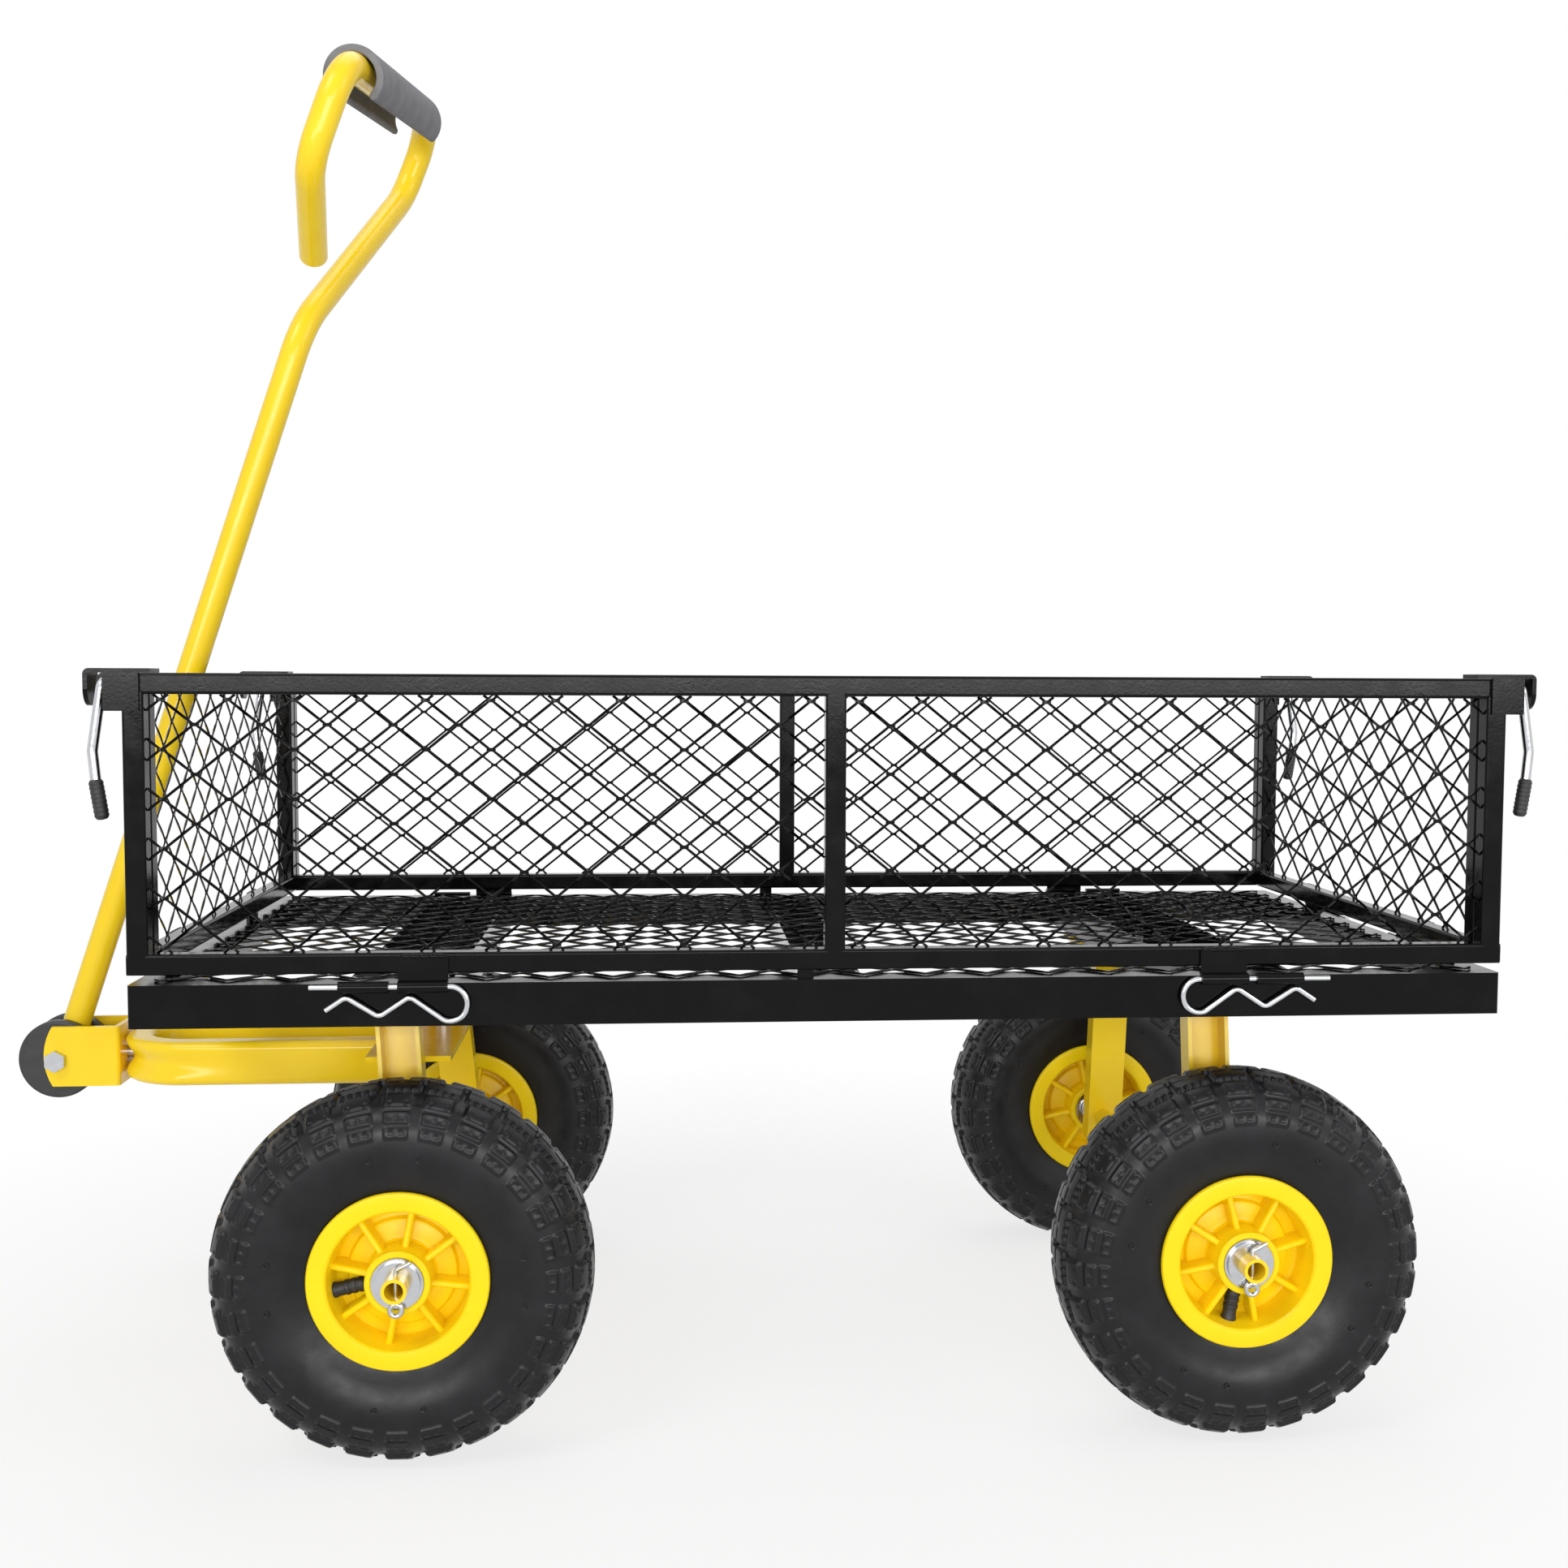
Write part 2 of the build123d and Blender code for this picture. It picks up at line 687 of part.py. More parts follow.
def rim_shape(outward, angle):
    """A moulded wheel centre: flanged rim, middle web, ribs on both faces and a bored hub."""
    half_hub = hub_length / 2
    seat_end = half_hub - bearing_width
    barrel = rim_seat_radius - rim_wall
    flange = rim_half_width + rim_flange_thickness
    half_web = web_thickness / 2
    outline = [
        (hub_bore_radius, seat_end),
        (bearing_radius, seat_end),
        (bearing_radius, half_hub),
        (hub_radius, half_hub),
        (hub_radius, half_web),
        (barrel, half_web),
        (barrel, flange),
        (rim_flange_radius, flange),
        (rim_flange_radius, rim_half_width),
        (rim_seat_radius, rim_half_width),
    ]
    mirrored = [(radius, -offset_) for radius, offset_ in reversed(outline)]
    rim = revolve(make_face(Polyline(*(outline + mirrored), close=True)), axis=Axis.Y)
    reach = (hub_radius - rim_wall / 2, barrel + rim_wall / 2)
    rib_y = (-half_web - rib_height, half_web + rib_height)
    rib = block(reach, rib_y, (-rib_thickness / 2, rib_thickness / 2))
    for index in range(rib_count):
        rim += Rot(0, 360 / rib_count * (index + 0.5), 0) * rib
    turn = radians(angle)
    inner = [c * hub_radius for c in (cos(turn), 0, sin(turn))]
    outer = [c * rim_flange_radius for c in (cos(turn), 0, sin(turn))]
    inner[1] = outer[1] = outward * valve_side
    middle = [(i + o) / 2 for i, o in zip(inner, outer)]
    return rim - rod(middle, outer, valve_radius + face_clearance)


def bearing_pair():
    rings = []
    half_hub = hub_length / 2
    for sign in (1, -1):
        outer = sign * half_hub
        inside = outer - sign * bearing_width
        ring = sleeve((0, inside, 0), (0, outer, 0), bearing_radius, axle_radius + pin_clearance)
        middle = (bearing_radius + axle_radius) / 2
        groove = sleeve(
            (0, outer - sign * bearing_groove_depth, 0),
            (0, outer, 0),
            middle + bearing_groove_width / 2,
            middle - bearing_groove_width / 2,
        )
        rings.append(ring - groove)
    return Compound(rings)


def add_wheels():
    tyre = tyre_shape()
    bearings = bearing_pair()
    places = {
        "front": (front_axle_x, front_valve_bay, front_wheel_turn),
        "rear": (rear_axle_x, rear_valve_bay, rear_wheel_turn),
    }
    for end, (x, bay, turn) in places.items():
        angle = bay * 360 / rib_count
        for side, across in sides.items():
            place = Pos(x, across * half_track, axle_height) * Rot(0, -turn, 0)
            nodes[f"tyre_{end}_{side}"] = place * tyre
            nodes[f"wheel_rim_{end}_{side}"] = place * rim_shape(across, angle)
            nodes[f"inner_tube_{end}_{side}"] = place * inner_tube_shape(across, angle)
            nodes[f"wheel_bearings_{end}_{side}"] = place * bearings


def strut_section(x, y_inner, z, across):
    """The channel's outline at one height: its web inside, its two flanges pointing out to the wheel."""
    half = strut_width / 2
    web = y_inner + across * strut_wall
    tip = y_inner + across * strut_depth
    points = [
        (x - half, y_inner, z),
        (x + half, y_inner, z),
        (x + half, tip, z),
        (x + half - strut_wall, tip, z),
        (x + half - strut_wall, web, z),
        (x - half + strut_wall, web, z),
        (x - half + strut_wall, tip, z),
        (x - half, tip, z),
    ]
    return make_face(Polyline(*points, close=True))


def strut(x_foot, x_top, z_top, axle_x, across):
    """A channel leg from the axle up to a plate, spread wider at its foot, with the axle through it."""
    z_foot = axle_height - strut_foot_drop
    foot = strut_section(x_foot, across * strut_foot_inner, z_foot, across)
    top = strut_section(x_top, across * strut_top_inner, z_top, across)
    leg = loft([foot, top], ruled=True)
    return leg - rod((axle_x, -axle_half, axle_height), (axle_x, axle_half, axle_height), axle_radius)


def axle_tube(x):
    """A hollow axle with a cotter hole near each end."""
    tips = [(x, -axle_half, axle_height), (x, axle_half, axle_height)]
    tube = sleeve(*tips, axle_radius, axle_bore_radius)
    for across in sides.values():
        y = across * (axle_half - cotter_inset)
        tube -= rod((x, y, axle_height - axle_radius), (x, y, axle_height + axle_radius), cotter_radius)
    return tube


def axle_hardware(x):
    """Spacers inside the wheels, and washers and cotter pins outside them."""
    pieces = []
    hub_inner = half_track - hub_length / 2 - face_clearance
    hub_outer = half_track + hub_length / 2 + face_clearance
    lean = (strut_foot_inner - strut_top_inner) / (bed_bottom - axle_height + strut_foot_drop)
    tip = strut_foot_inner + strut_depth - lean * (strut_foot_drop - spacer_radius)
    for across in sides.values():

        def at(y):
            return (x, across * y, axle_height)

        pieces.append(sleeve(at(tip), at(hub_inner), spacer_radius, axle_radius))
        washer_outer = hub_outer + washer_thickness
        pieces.append(sleeve(at(hub_outer), at(washer_outer), washer_radius, axle_radius))
        y = across * (axle_half - cotter_inset)
        head = axle_height - axle_radius - cotter_head
        foot = axle_height + axle_radius + cotter_head
        leg = foot + cotter_leg * 0.5
        points = [(x, y, head), (x, y, foot), (x + cotter_leg, y, leg)]
        pin = bent_rod(points, [cotter_radius * 2], cotter_radius)
        eye = Rot(90, 0, 0) * Torus(cotter_eye_radius, cotter_radius)
        eye = Pos(x, y, head - cotter_eye_radius) * eye
        pieces.append(pin + eye)
    return Compound(pieces)


def bolt_and_nut(head, nut, axis, radius, head_height, nut_thickness, end, head_radius=0.0):
    """A hexagon bolt with its nut: head and nut are the two faces that it grips between."""
    head_radius = head_radius or radius * 1.9
    axis = Vector(*axis)
    head = Vector(*head)
    nut = Vector(*nut)
    hexagon = RegularPolygon(head_radius, 6)
    bolt = extrude(Plane(head, z_dir=(-axis)) * hexagon, amount=head_height)
    bolt += rod(head, (nut + axis * (nut_thickness + end)), radius)
    nut_blank = extrude(Plane(nut, z_dir=axis) * hexagon, amount=nut_thickness)
    hole = rod(nut, (nut + axis * nut_thickness), radius)
    return [bolt, nut_blank - hole]


def add_rear_axle():
    nodes["rear_axle"] = axle_tube(rear_axle_x)
    x = rear_axle_x + rear_strut_offset
    struts = []
    for across in sides.values():
        leg = strut(x, x, pad_bottom, rear_axle_x, across)
        y = across * (strut_top_inner + strut_depth / 2)
        pad_y = (y - pad_width / 2, y + pad_width / 2)
        leg += block((x - pad_length / 2, x + pad_length / 2), pad_y, (pad_bottom, bed_bottom))
        for bolt_x, bolt_y in chassis_bolt_spots():
            leg -= rod((bolt_x, bolt_y, pad_bottom), (bolt_x, bolt_y, bed_bottom), chassis_bolt_radius)
        struts.append(leg)
    nodes["rear_struts"] = Compound(struts)
    nodes["rear_axle_hardware"] = axle_hardware(rear_axle_x)
    bolts = []
    for bolt_x, bolt_y in chassis_bolt_spots():
        head = (bolt_x, bolt_y, bed_bottom + sheet_wall)
        nut = (bolt_x, bolt_y, pad_bottom)
        bolts += bolt_and_nut(
            head,
            nut,
            (0, 0, -1),
            chassis_bolt_radius,
            bolt_head_height,
            nut_height,
            thread_end,
        )
    nodes["chassis_bolts"] = Compound(bolts)


def add_steering():
    """The turning front axle: struts, two plates on the kingpin, the drawbar yoke and the clevis."""
    nodes["front_axle"] = axle_tube(front_axle_x)
    top_x = front_axle_x - front_strut_lean
    nodes["front_struts"] = Compound([
        strut(front_axle_x, top_x, steering_under, front_axle_x, across) for across in sides.values()
    ])
    nodes["front_axle_hardware"] = axle_hardware(front_axle_x)

    hole_radius = kingpin_radius + pin_clearance
    hole = rod((front_axle_x, 0, tie_bottom), (front_axle_x, 0, bed_bottom), hole_radius)
    plate_x = (top_x - steering_plate_length / 2, top_x + steering_plate_length / 2)
    plate_y = (-steering_plate_width / 2, steering_plate_width / 2)
    plate = block(plate_x, plate_y, (steering_under, steering_top))
    strut_foot = axle_height - strut_foot_drop
    share = (tie_bottom - strut_foot) / (steering_under - strut_foot)
    tie_half = strut_foot_inner + (strut_top_inner - strut_foot_inner) * share
    tie_x = (front_axle_x - tie_plate_length * 0.65, front_axle_x + tie_plate_length * 0.35)
    tie = block(tie_x, (-tie_half, tie_half), (tie_bottom, tie_top))
    for across in sides.values():
        tie -= strut(front_axle_x, top_x, steering_under, front_axle_x, across)
    nodes["steering_plates"] = Compound([plate - hole, tie - hole])

    left_end, left_bend, right_bend, right_end = (
        (x, y, yoke_centre_height)
        for x, y in (
            (yoke_end_x, -yoke_half_gap),
            (yoke_bend_x, -yoke_half_gap),
            (yoke_bend_x, yoke_half_gap),
            (yoke_end_x, yoke_half_gap),
        )
    )
    path = Wire([
        Line(left_end, left_bend).edge(),
        ThreePointArc(left_bend, (yoke_bend_x - yoke_half_gap, 0, yoke_centre_height), right_bend).edge(),
        Line(right_bend, right_end).edge(),
    ])
    skin = RectangleRounded(yoke_height, yoke_width, yoke_round)
    hollow_size = (yoke_height - 2 * yoke_wall, yoke_width - 2 * yoke_wall)
    hollow = RectangleRounded(*hollow_size, yoke_round - yoke_wall)
    section = Plane(path @ 0, x_dir=(0, 0, 1), z_dir=path % 0) * (skin - hollow)
    yoke = sweep(section, path=path)
    bolt_start = (yoke_nose_x - clevis_wall, 0, yoke_centre_height)
    bolt_stop = (yoke_bend_x, 0, yoke_centre_height)
    nodes["drawbar_yoke"] = yoke - rod(bolt_start, bolt_stop, yoke_bolt_radius)

    low = pivot_height + clevis_rise - clevis_height / 2
    high = low + clevis_height
    nose = pivot_x - clevis_nose
    bulge_x = nose + clevis_nose_bulge
    ear_outline = Wire([
        Line((yoke_nose_x, 0, low), (yoke_nose_x, 0, high)).edge(),
        Line((yoke_nose_x, 0, high), (bulge_x, 0, high)).edge(),
        ThreePointArc((bulge_x, 0, high), (nose, 0, (low + high) / 2), (bulge_x, 0, low)).edge(),
        Line((bulge_x, 0, low), (yoke_nose_x, 0, low)).edge(),
    ])
    slab = extrude(make_face(ear_outline), amount=clevis_outer, both=True)
    mouth_x = (nose - clevis_nose, yoke_nose_x - clevis_wall)
    slab -= block(mouth_x, (-clevis_inner, clevis_inner), (low, high))
    back = [e for e in slab.edges().filter_by(Axis.Z) if abs(e.center().X - yoke_nose_x) < 1e-3]
    slab = fillet([e for e in back if abs(abs(e.center().Y) - clevis_outer) < 1e-3], clevis_wall - 0.5)
    ear_faces = [(pivot_x, -clevis_outer, pivot_height), (pivot_x, clevis_outer, pivot_height)]
    slab -= rod(*ear_faces, pivot_bolt_radius)
    nodes["handle_clevis"] = slab - rod(bolt_start, bolt_stop, yoke_bolt_radius)

    pieces = bolt_and_nut(
        *ear_faces,
        (0, 1, 0),
        pivot_bolt_radius,
        bolt_head_height,
        nut_height,
        thread_end / 2,
        pivot_head_radius,
    )
    bend_inner = yoke_half_gap - yoke_width / 2
    nut_corner = yoke_bolt_radius * 1.9
    nut_seat = yoke_bend_x - sqrt(bend_inner**2 - nut_corner**2)
    pieces += bolt_and_nut(
        bolt_start,
        (nut_seat, 0, yoke_centre_height),
        (1, 0, 0),
        yoke_bolt_radius,
        bolt_head_height,
        nut_height,
        thread_end / 2,
    )
    nodes["clevis_bolts"] = Compound(pieces)

    nut_top = tie_bottom - face_clearance
    nodes["kingpin"] = Compound(bolt_and_nut(
        (front_axle_x, 0, bed_bottom + sheet_wall),
        (front_axle_x, 0, nut_top),
        (0, 0, -1),
        kingpin_radius,
        bolt_head_height,
        nut_height,
        nut_top - nut_height - kingpin_end,
    ))


def loop_point(across, along):
    """A point on the pull loop: across the cart, and up the loop's own slightly tilted plane."""
    lean = radians(handle_lean)
    tilt = radians(handle_lean + loop_back_tilt)
    x = pivot_x + shaft_length * sin(lean) + along * sin(tilt)
    z = pivot_height + shaft_length * cos(lean) + along * cos(tilt)
    return (x, across, z)


def add_handle():
    lean = radians(handle_lean)
    tail = (pivot_x - handle_tail * sin(lean), 0, pivot_height - handle_tail * cos(lean))
    points = [
        tail,
        loop_point(0, loop_throat),
        loop_point(*loop_far_elbow),
        loop_point(*loop_far_corner),
        loop_point(*loop_near_corner),
        loop_point(*loop_near_elbow),
        loop_point(*loop_free_end),
    ]
    tube = bent_rod(points, loop_bends, handle_radius, handle_radius - handle_wall)
    hole_radius = pivot_bolt_radius + pin_clearance
    hole_ends = [(pivot_x, -clevis_inner, pivot_height), (pivot_x, clevis_inner, pivot_height)]
    hole = rod(*hole_ends, hole_radius)
    nodes["handle_tube"] = tube - hole

    discs = []
    for across in sides.values():
        inner = across * handle_radius
        outer = across * (handle_radius + disc_thickness)
        disc = rod((pivot_x, inner, pivot_height), (pivot_x, outer, pivot_height), disc_radius)
        rims = [e for e in disc.edges().filter_by(GeomType.CIRCLE)]
        disc = fillet(rims, disc_edge)
        discs.append(disc - hole)
    nodes["handle_discs"] = Compound(discs)

    near = Vector(*loop_point(*loop_near_corner))
    far = Vector(*loop_point(*loop_far_corner))
    axis = (far - near).normalized()
    tilt = radians(handle_lean + loop_back_tilt)
    ahead = Vector(-cos(tilt), 0, sin(tilt))
    up = axis.cross(ahead)
    if up.Z < 0:
        up = -up
    turn = radians(foam_slit_turn)
    slit = ahead * -sin(turn) + up * cos(turn)
    foam_inner = foam_radius - foam_wall
    slack = foam_inner - handle_radius
    origin = near + axis * foam_near_margin + slit * slack
    place = Plane(origin, x_dir=slit, z_dir=axis)
    half_slit = radians(foam_slit_angle / 2)
    reach = 2 * foam_radius
    wedge = Polygon((0, 0), (reach * cos(half_slit), reach * sin(half_slit)),
                    (reach * cos(half_slit), -reach * sin(half_slit)), align=None)
    ring = Circle(foam_radius) - Circle(foam_inner) - wedge
    nodes["foam_grip"] = extrude(place * ring, amount=foam_length)


add_bed()
for side, across in sides.items():
    add_side_panel(side, across)
for end, facing in ends.items():
    add_end_panel(end, facing)
add_latch_levers()
add_spring_clips()
add_wheels()
add_rear_axle()
add_steering()
add_handle()

os.makedirs("parts", exist_ok=True)
for name, shape in nodes.items():
    export_step(shape, f"parts/{name}.step")
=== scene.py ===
import bpy
import numpy as np
from mathutils import Matrix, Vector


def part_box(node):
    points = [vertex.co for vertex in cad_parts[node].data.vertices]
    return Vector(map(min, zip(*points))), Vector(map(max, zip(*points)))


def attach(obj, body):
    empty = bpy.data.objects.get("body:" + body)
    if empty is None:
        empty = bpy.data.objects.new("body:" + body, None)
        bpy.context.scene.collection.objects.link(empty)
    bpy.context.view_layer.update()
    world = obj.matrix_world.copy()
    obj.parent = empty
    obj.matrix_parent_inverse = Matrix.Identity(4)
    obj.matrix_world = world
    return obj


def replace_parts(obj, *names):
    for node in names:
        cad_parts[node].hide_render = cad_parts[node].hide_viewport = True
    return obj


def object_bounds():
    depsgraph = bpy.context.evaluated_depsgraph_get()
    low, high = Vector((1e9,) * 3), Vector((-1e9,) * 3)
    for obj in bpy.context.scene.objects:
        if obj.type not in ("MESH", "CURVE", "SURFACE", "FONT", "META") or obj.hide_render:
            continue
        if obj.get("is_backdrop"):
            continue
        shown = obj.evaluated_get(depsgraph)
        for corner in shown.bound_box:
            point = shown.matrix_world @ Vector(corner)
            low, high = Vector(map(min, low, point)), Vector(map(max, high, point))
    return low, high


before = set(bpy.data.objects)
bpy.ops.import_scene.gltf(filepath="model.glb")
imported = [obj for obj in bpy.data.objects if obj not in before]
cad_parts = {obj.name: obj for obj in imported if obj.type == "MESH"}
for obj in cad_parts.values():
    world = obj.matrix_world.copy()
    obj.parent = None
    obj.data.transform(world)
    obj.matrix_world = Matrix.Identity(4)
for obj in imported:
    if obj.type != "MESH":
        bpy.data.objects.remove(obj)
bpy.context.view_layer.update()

# Bed, cross members, hinge barrels and the square tube of the panels: folded sheet and welded tube.
# All of it is sprayed with one semi-gloss black powder coat, which pulls into a faint orange peel
# and holds a little pale dust.


def new_finish(name, colour, roughness, metallic=0.0, gloss=0.5):
    """An empty Principled finish, with Object coordinates to hang the patterns on."""
    finish = bpy.data.materials.new(name)
    finish.use_nodes = True
    shader = finish.node_tree.nodes["Principled BSDF"]
    shader.inputs["Specular IOR Level"].default_value = gloss
    shader.inputs["Base Color"].default_value = (*colour, 1.0)
    shader.inputs["Roughness"].default_value = roughness
    shader.inputs["Metallic"].default_value = metallic
    place = finish.node_tree.nodes.new("ShaderNodeTexCoord")
    return finish, finish.node_tree, shader, place.outputs["Object"]


def speckle(tree, place, scale, detail=3.0, rough=0.55):
    """Noise of so many waves to the metre."""
    noise = tree.nodes.new("ShaderNodeTexNoise")
    noise.inputs["Scale"].default_value = scale
    noise.inputs["Detail"].default_value = detail
    noise.inputs["Roughness"].default_value = rough
    tree.links.new(place, noise.inputs["Vector"])
    return noise.outputs["Fac"]


def spread(tree, value, low, high, start=0.3, stop=0.7):
    """Stretch the noise between start and stop over the range from low to high."""
    span = tree.nodes.new("ShaderNodeMapRange")
    span.inputs["From Min"].default_value = start
    span.inputs["From Max"].default_value = stop
    span.inputs["To Min"].default_value = low
    span.inputs["To Max"].default_value = high
    tree.links.new(value, span.inputs["Value"])
    return span.outputs["Result"]


def tint(tree, shader, amount, first, second):
    """Blend the base colour from first to second by amount."""
    blend = tree.nodes.new("ShaderNodeMix")
    blend.data_type = "RGBA"
    blend.inputs[6].default_value = (*first, 1.0)
    blend.inputs[7].default_value = (*second, 1.0)
    tree.links.new(amount, blend.inputs[0])
    tree.links.new(blend.outputs[2], shader.inputs["Base Color"])


def roughen(tree, shader, height, strength, distance):
    """Raise the surface by the height pattern, distance metres at most."""
    bump = tree.nodes.new("ShaderNodeBump")
    bump.inputs["Strength"].default_value = strength
    bump.inputs["Distance"].default_value = distance
    tree.links.new(height, bump.inputs["Height"])
    tree.links.new(bump.outputs["Normal"], shader.inputs["Normal"])


black_coat, tree, shader, place = new_finish("black_powder_coat", (0.003, 0.003, 0.0035), 0.14, gloss=0.14)
dust = spread(tree, speckle(tree, place, 23.0, 6.0), 0.0, 1.0, 0.5, 0.85)
tint(tree, shader, dust, (0.002, 0.002, 0.0024), (0.006, 0.006, 0.0065))
tree.links.new(spread(tree, speckle(tree, place, 60.0, 4.0), 0.08, 0.2), shader.inputs["Roughness"])
roughen(tree, shader, speckle(tree, place, 500.0, 2.0), 0.08, 0.0004)


def dress(node, finish):
    """Give a CAD node its finish."""
    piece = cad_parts[node]
    piece.data.materials.clear()
    piece.data.materials.append(finish)


for node in ("bed_frame", "bed_cross_members", "bed_hinge_barrels"):
    dress(node, black_coat)
panels = ("left", "right", "front", "rear")
panel_body = {"left": "left_panel", "right": "right_panel", "front": "cart_bed", "rear": "rear_panel"}
for panel in panels:
    dress(f"{panel}_panel_frame", black_coat)

# Expanded metal in the floor and the panels: slit and stretched sheet, so that each strand is a thin
# flat bar twisted between its two knots. It is cut to the window, welded in and sprayed with the frame.
mesh_long = 0.043
mesh_short = 0.033
strand_width = 0.0016
strand_thickness = 0.0011
strand_rings = 6
strand_twist = 0.9
shortest_share = 0.04
knot_half = 0.0024
knot_shift = 0.0006
knot_width = 0.0026
knot_rings = np.array([(-1.3, 0.35), (-0.9, 0.85), (0, 1.0), (0.9, 0.85), (1.3, 0.35)])


def put_piece(name, points, faces, body, finish, crease=0.6):
    """A mesh from arrays of points and four-sided faces, turned right side out by its signed volume."""
    points = np.asarray(points, float).reshape(-1, 3)
    faces = np.asarray(faces, int).reshape(-1, 4)
    a, b, c, d = (points[faces[:, k]] for k in range(4))
    volume = np.einsum("ij,ij->", a, np.cross(b, c)) + np.einsum("ij,ij->", a, np.cross(c, d))
    if volume < 0:
        faces = faces[:, ::-1]
    shape = bpy.data.meshes.new(name)
    shape.vertices.add(len(points))
    shape.vertices.foreach_set("co", points.ravel())
    shape.loops.add(faces.size)
    shape.loops.foreach_set("vertex_index", faces.ravel())
    shape.polygons.add(len(faces))
    shape.polygons.foreach_set("loop_start", np.arange(0, faces.size, 4))
    shape.polygons.foreach_set("use_smooth", np.ones(len(faces), bool))
    shape.update(calc_edges=True)
    shape.validate()
    shape.set_sharp_from_angle(angle=crease)
    shape.materials.append(finish)
    piece = bpy.data.objects.new(name, shape)
    bpy.context.scene.collection.objects.link(piece)
    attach(piece, body)
    return piece


def grid_faces(rows, columns, wrap_rows=False, wrap_columns=False):
    """Corner numbers of the four-sided faces of a grid of points, closed on itself where asked."""
    i = np.arange(rows if wrap_rows else rows - 1)[:, None]
    j = np.arange(columns if wrap_columns else columns - 1)[None, :]
    down = (i + 1) % rows
    along = (j + 1) % columns
    corners = (i * columns + j, down * columns + j, down * columns + along, i * columns + along)
    return np.stack(np.broadcast_arrays(*corners), -1).reshape(-1, 4)


def flat_bars(centre, step, turn, swell, width):
    """Closed bars of flat section along rows of centres, turned about their own run and swelled by row."""
    along = step / np.linalg.norm(step, axis=1, keepdims=True)
    side = np.stack([-along[:, 1], along[:, 0]], 1)
    half_size = [width / 2, strand_thickness / 2]
    corners = np.array([[-1, -1], [1, -1], [1, 1], [-1, 1]]) * half_size * swell[:, None, None]
    across = corners[..., 0] * np.cos(turn)[..., None] - corners[..., 1] * np.sin(turn)[..., None]
    lift = corners[..., 0] * np.sin(turn)[..., None] + corners[..., 1] * np.cos(turn)[..., None]
    flat = centre[:, :, None, :] + side[:, None, None, :] * across[..., None]
    points = np.concatenate([flat, lift[..., None]], -1).reshape(-1, 3)
    rings = centre.shape[1]
    ring = rings * 4
    ends = np.array([[0, 1, 2, 3], [ring - 1, ring - 2, ring - 3, ring - 4]])
    bar = np.concatenate([grid_faces(rings, 4, wrap_columns=True), ends])
    return points, ((np.arange(len(centre)) * ring)[:, None, None] + bar[None]).reshape(-1, 4)


def expanded_metal(width, height):
    """Strands run between knots on a diamond lattice, and each is cut where it leaves the window. Along a
    strand the flat bar turns by a sine arch, and a knot is a short thick bar where four strands meet."""
    columns = int(width / mesh_long) + 2
    rows = int(height / mesh_short) + 2
    spans = np.arange(-2 * columns, 2 * columns), np.arange(-2 * rows, 2 * rows)
    column, row = (grid.ravel() for grid in np.meshgrid(*spans, indexing="ij"))
    odd = (column + row) % 2 == 1
    knots = np.stack([column[odd] * mesh_long / 2, row[odd] * mesh_short / 2], 1)
    limit = np.array([width / 2, height / 2])
    start = np.concatenate([knots, knots]) + [knot_shift, 0]
    rise = np.repeat([1.0, -1.0], len(knots)) * mesh_short / 2
    step = np.stack([np.full(len(start), mesh_long / 2 - 2 * knot_shift), rise], 1)
    first = np.sort(np.stack([(-limit - start) / step, (limit - start) / step]), 0)
    enter = np.clip(first[0].max(1), 0, 1)
    leave = np.clip(first[1].min(1), 0, 1)
    kept = leave - enter > shortest_share
    start, step, enter, leave = start[kept], step[kept], enter[kept], leave[kept]
    t = enter[:, None] + (leave - enter)[:, None] * np.linspace(0, 1, strand_rings)
    turn = strand_twist * np.sin(np.pi * t) * np.sign(step[:, 1])[:, None]
    centres = start[:, None, :] + step[:, None, :] * t[..., None]
    strands = flat_bars(centres, step, turn, np.ones(strand_rings), strand_width)
    inside = knots[(np.abs(knots) < limit + [knot_half, 0.0]).all(1)]
    spots = inside[:, None, :] + knot_rings[:, :1] * [knot_half, 0]
    ahead = np.tile([1.0, 0.0], (len(inside), 1))
    bars = flat_bars(spots, ahead, np.zeros(spots.shape[:2]), knot_rings[:, 1], knot_width)
    points = np.concatenate([strands[0], bars[0]])
    points[:, :2] = np.clip(points[:, :2], -limit, limit)
    return points, np.concatenate([strands[1], bars[1] + len(strands[0])])


floor_low, floor_high = (np.array(c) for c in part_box("floor_mesh"))
points, faces = expanded_metal(floor_high[0] - floor_low[0], floor_high[1] - floor_low[1])
points = points + (floor_low + floor_high) / 2
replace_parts(put_piece("floor_strands", points, faces, "cart_bed", black_coat), "floor_mesh")

tube_side = 0.014
for panel in panels:
    low, high = (np.array(c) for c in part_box(f"{panel}_panel_mesh"))
    middle = (low + high) / 2
    if panel in ("left", "right"):
        bay = (high[0] - low[0] - tube_side) / 2
        points, faces = expanded_metal(bay, high[2] - low[2])
        flat = np.stack([points[:, 0], -points[:, 2], points[:, 1]], 1)
        shift = np.array([(bay + tube_side) / 2, 0, 0])
        faces = np.concatenate([faces, faces + len(points)])
        points = np.concatenate([flat + middle - shift, flat + middle + shift])
    else:
        points, faces = expanded_metal(high[1] - low[1], high[2] - low[2])
        points = np.stack([points[:, 2], points[:, 0], points[:, 1]], 1) + middle
    name = f"{panel}_panel_strands"
    piece = put_piece(name, points, faces, panel_body[panel], black_coat)
    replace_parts(piece, f"{panel}_panel_mesh")

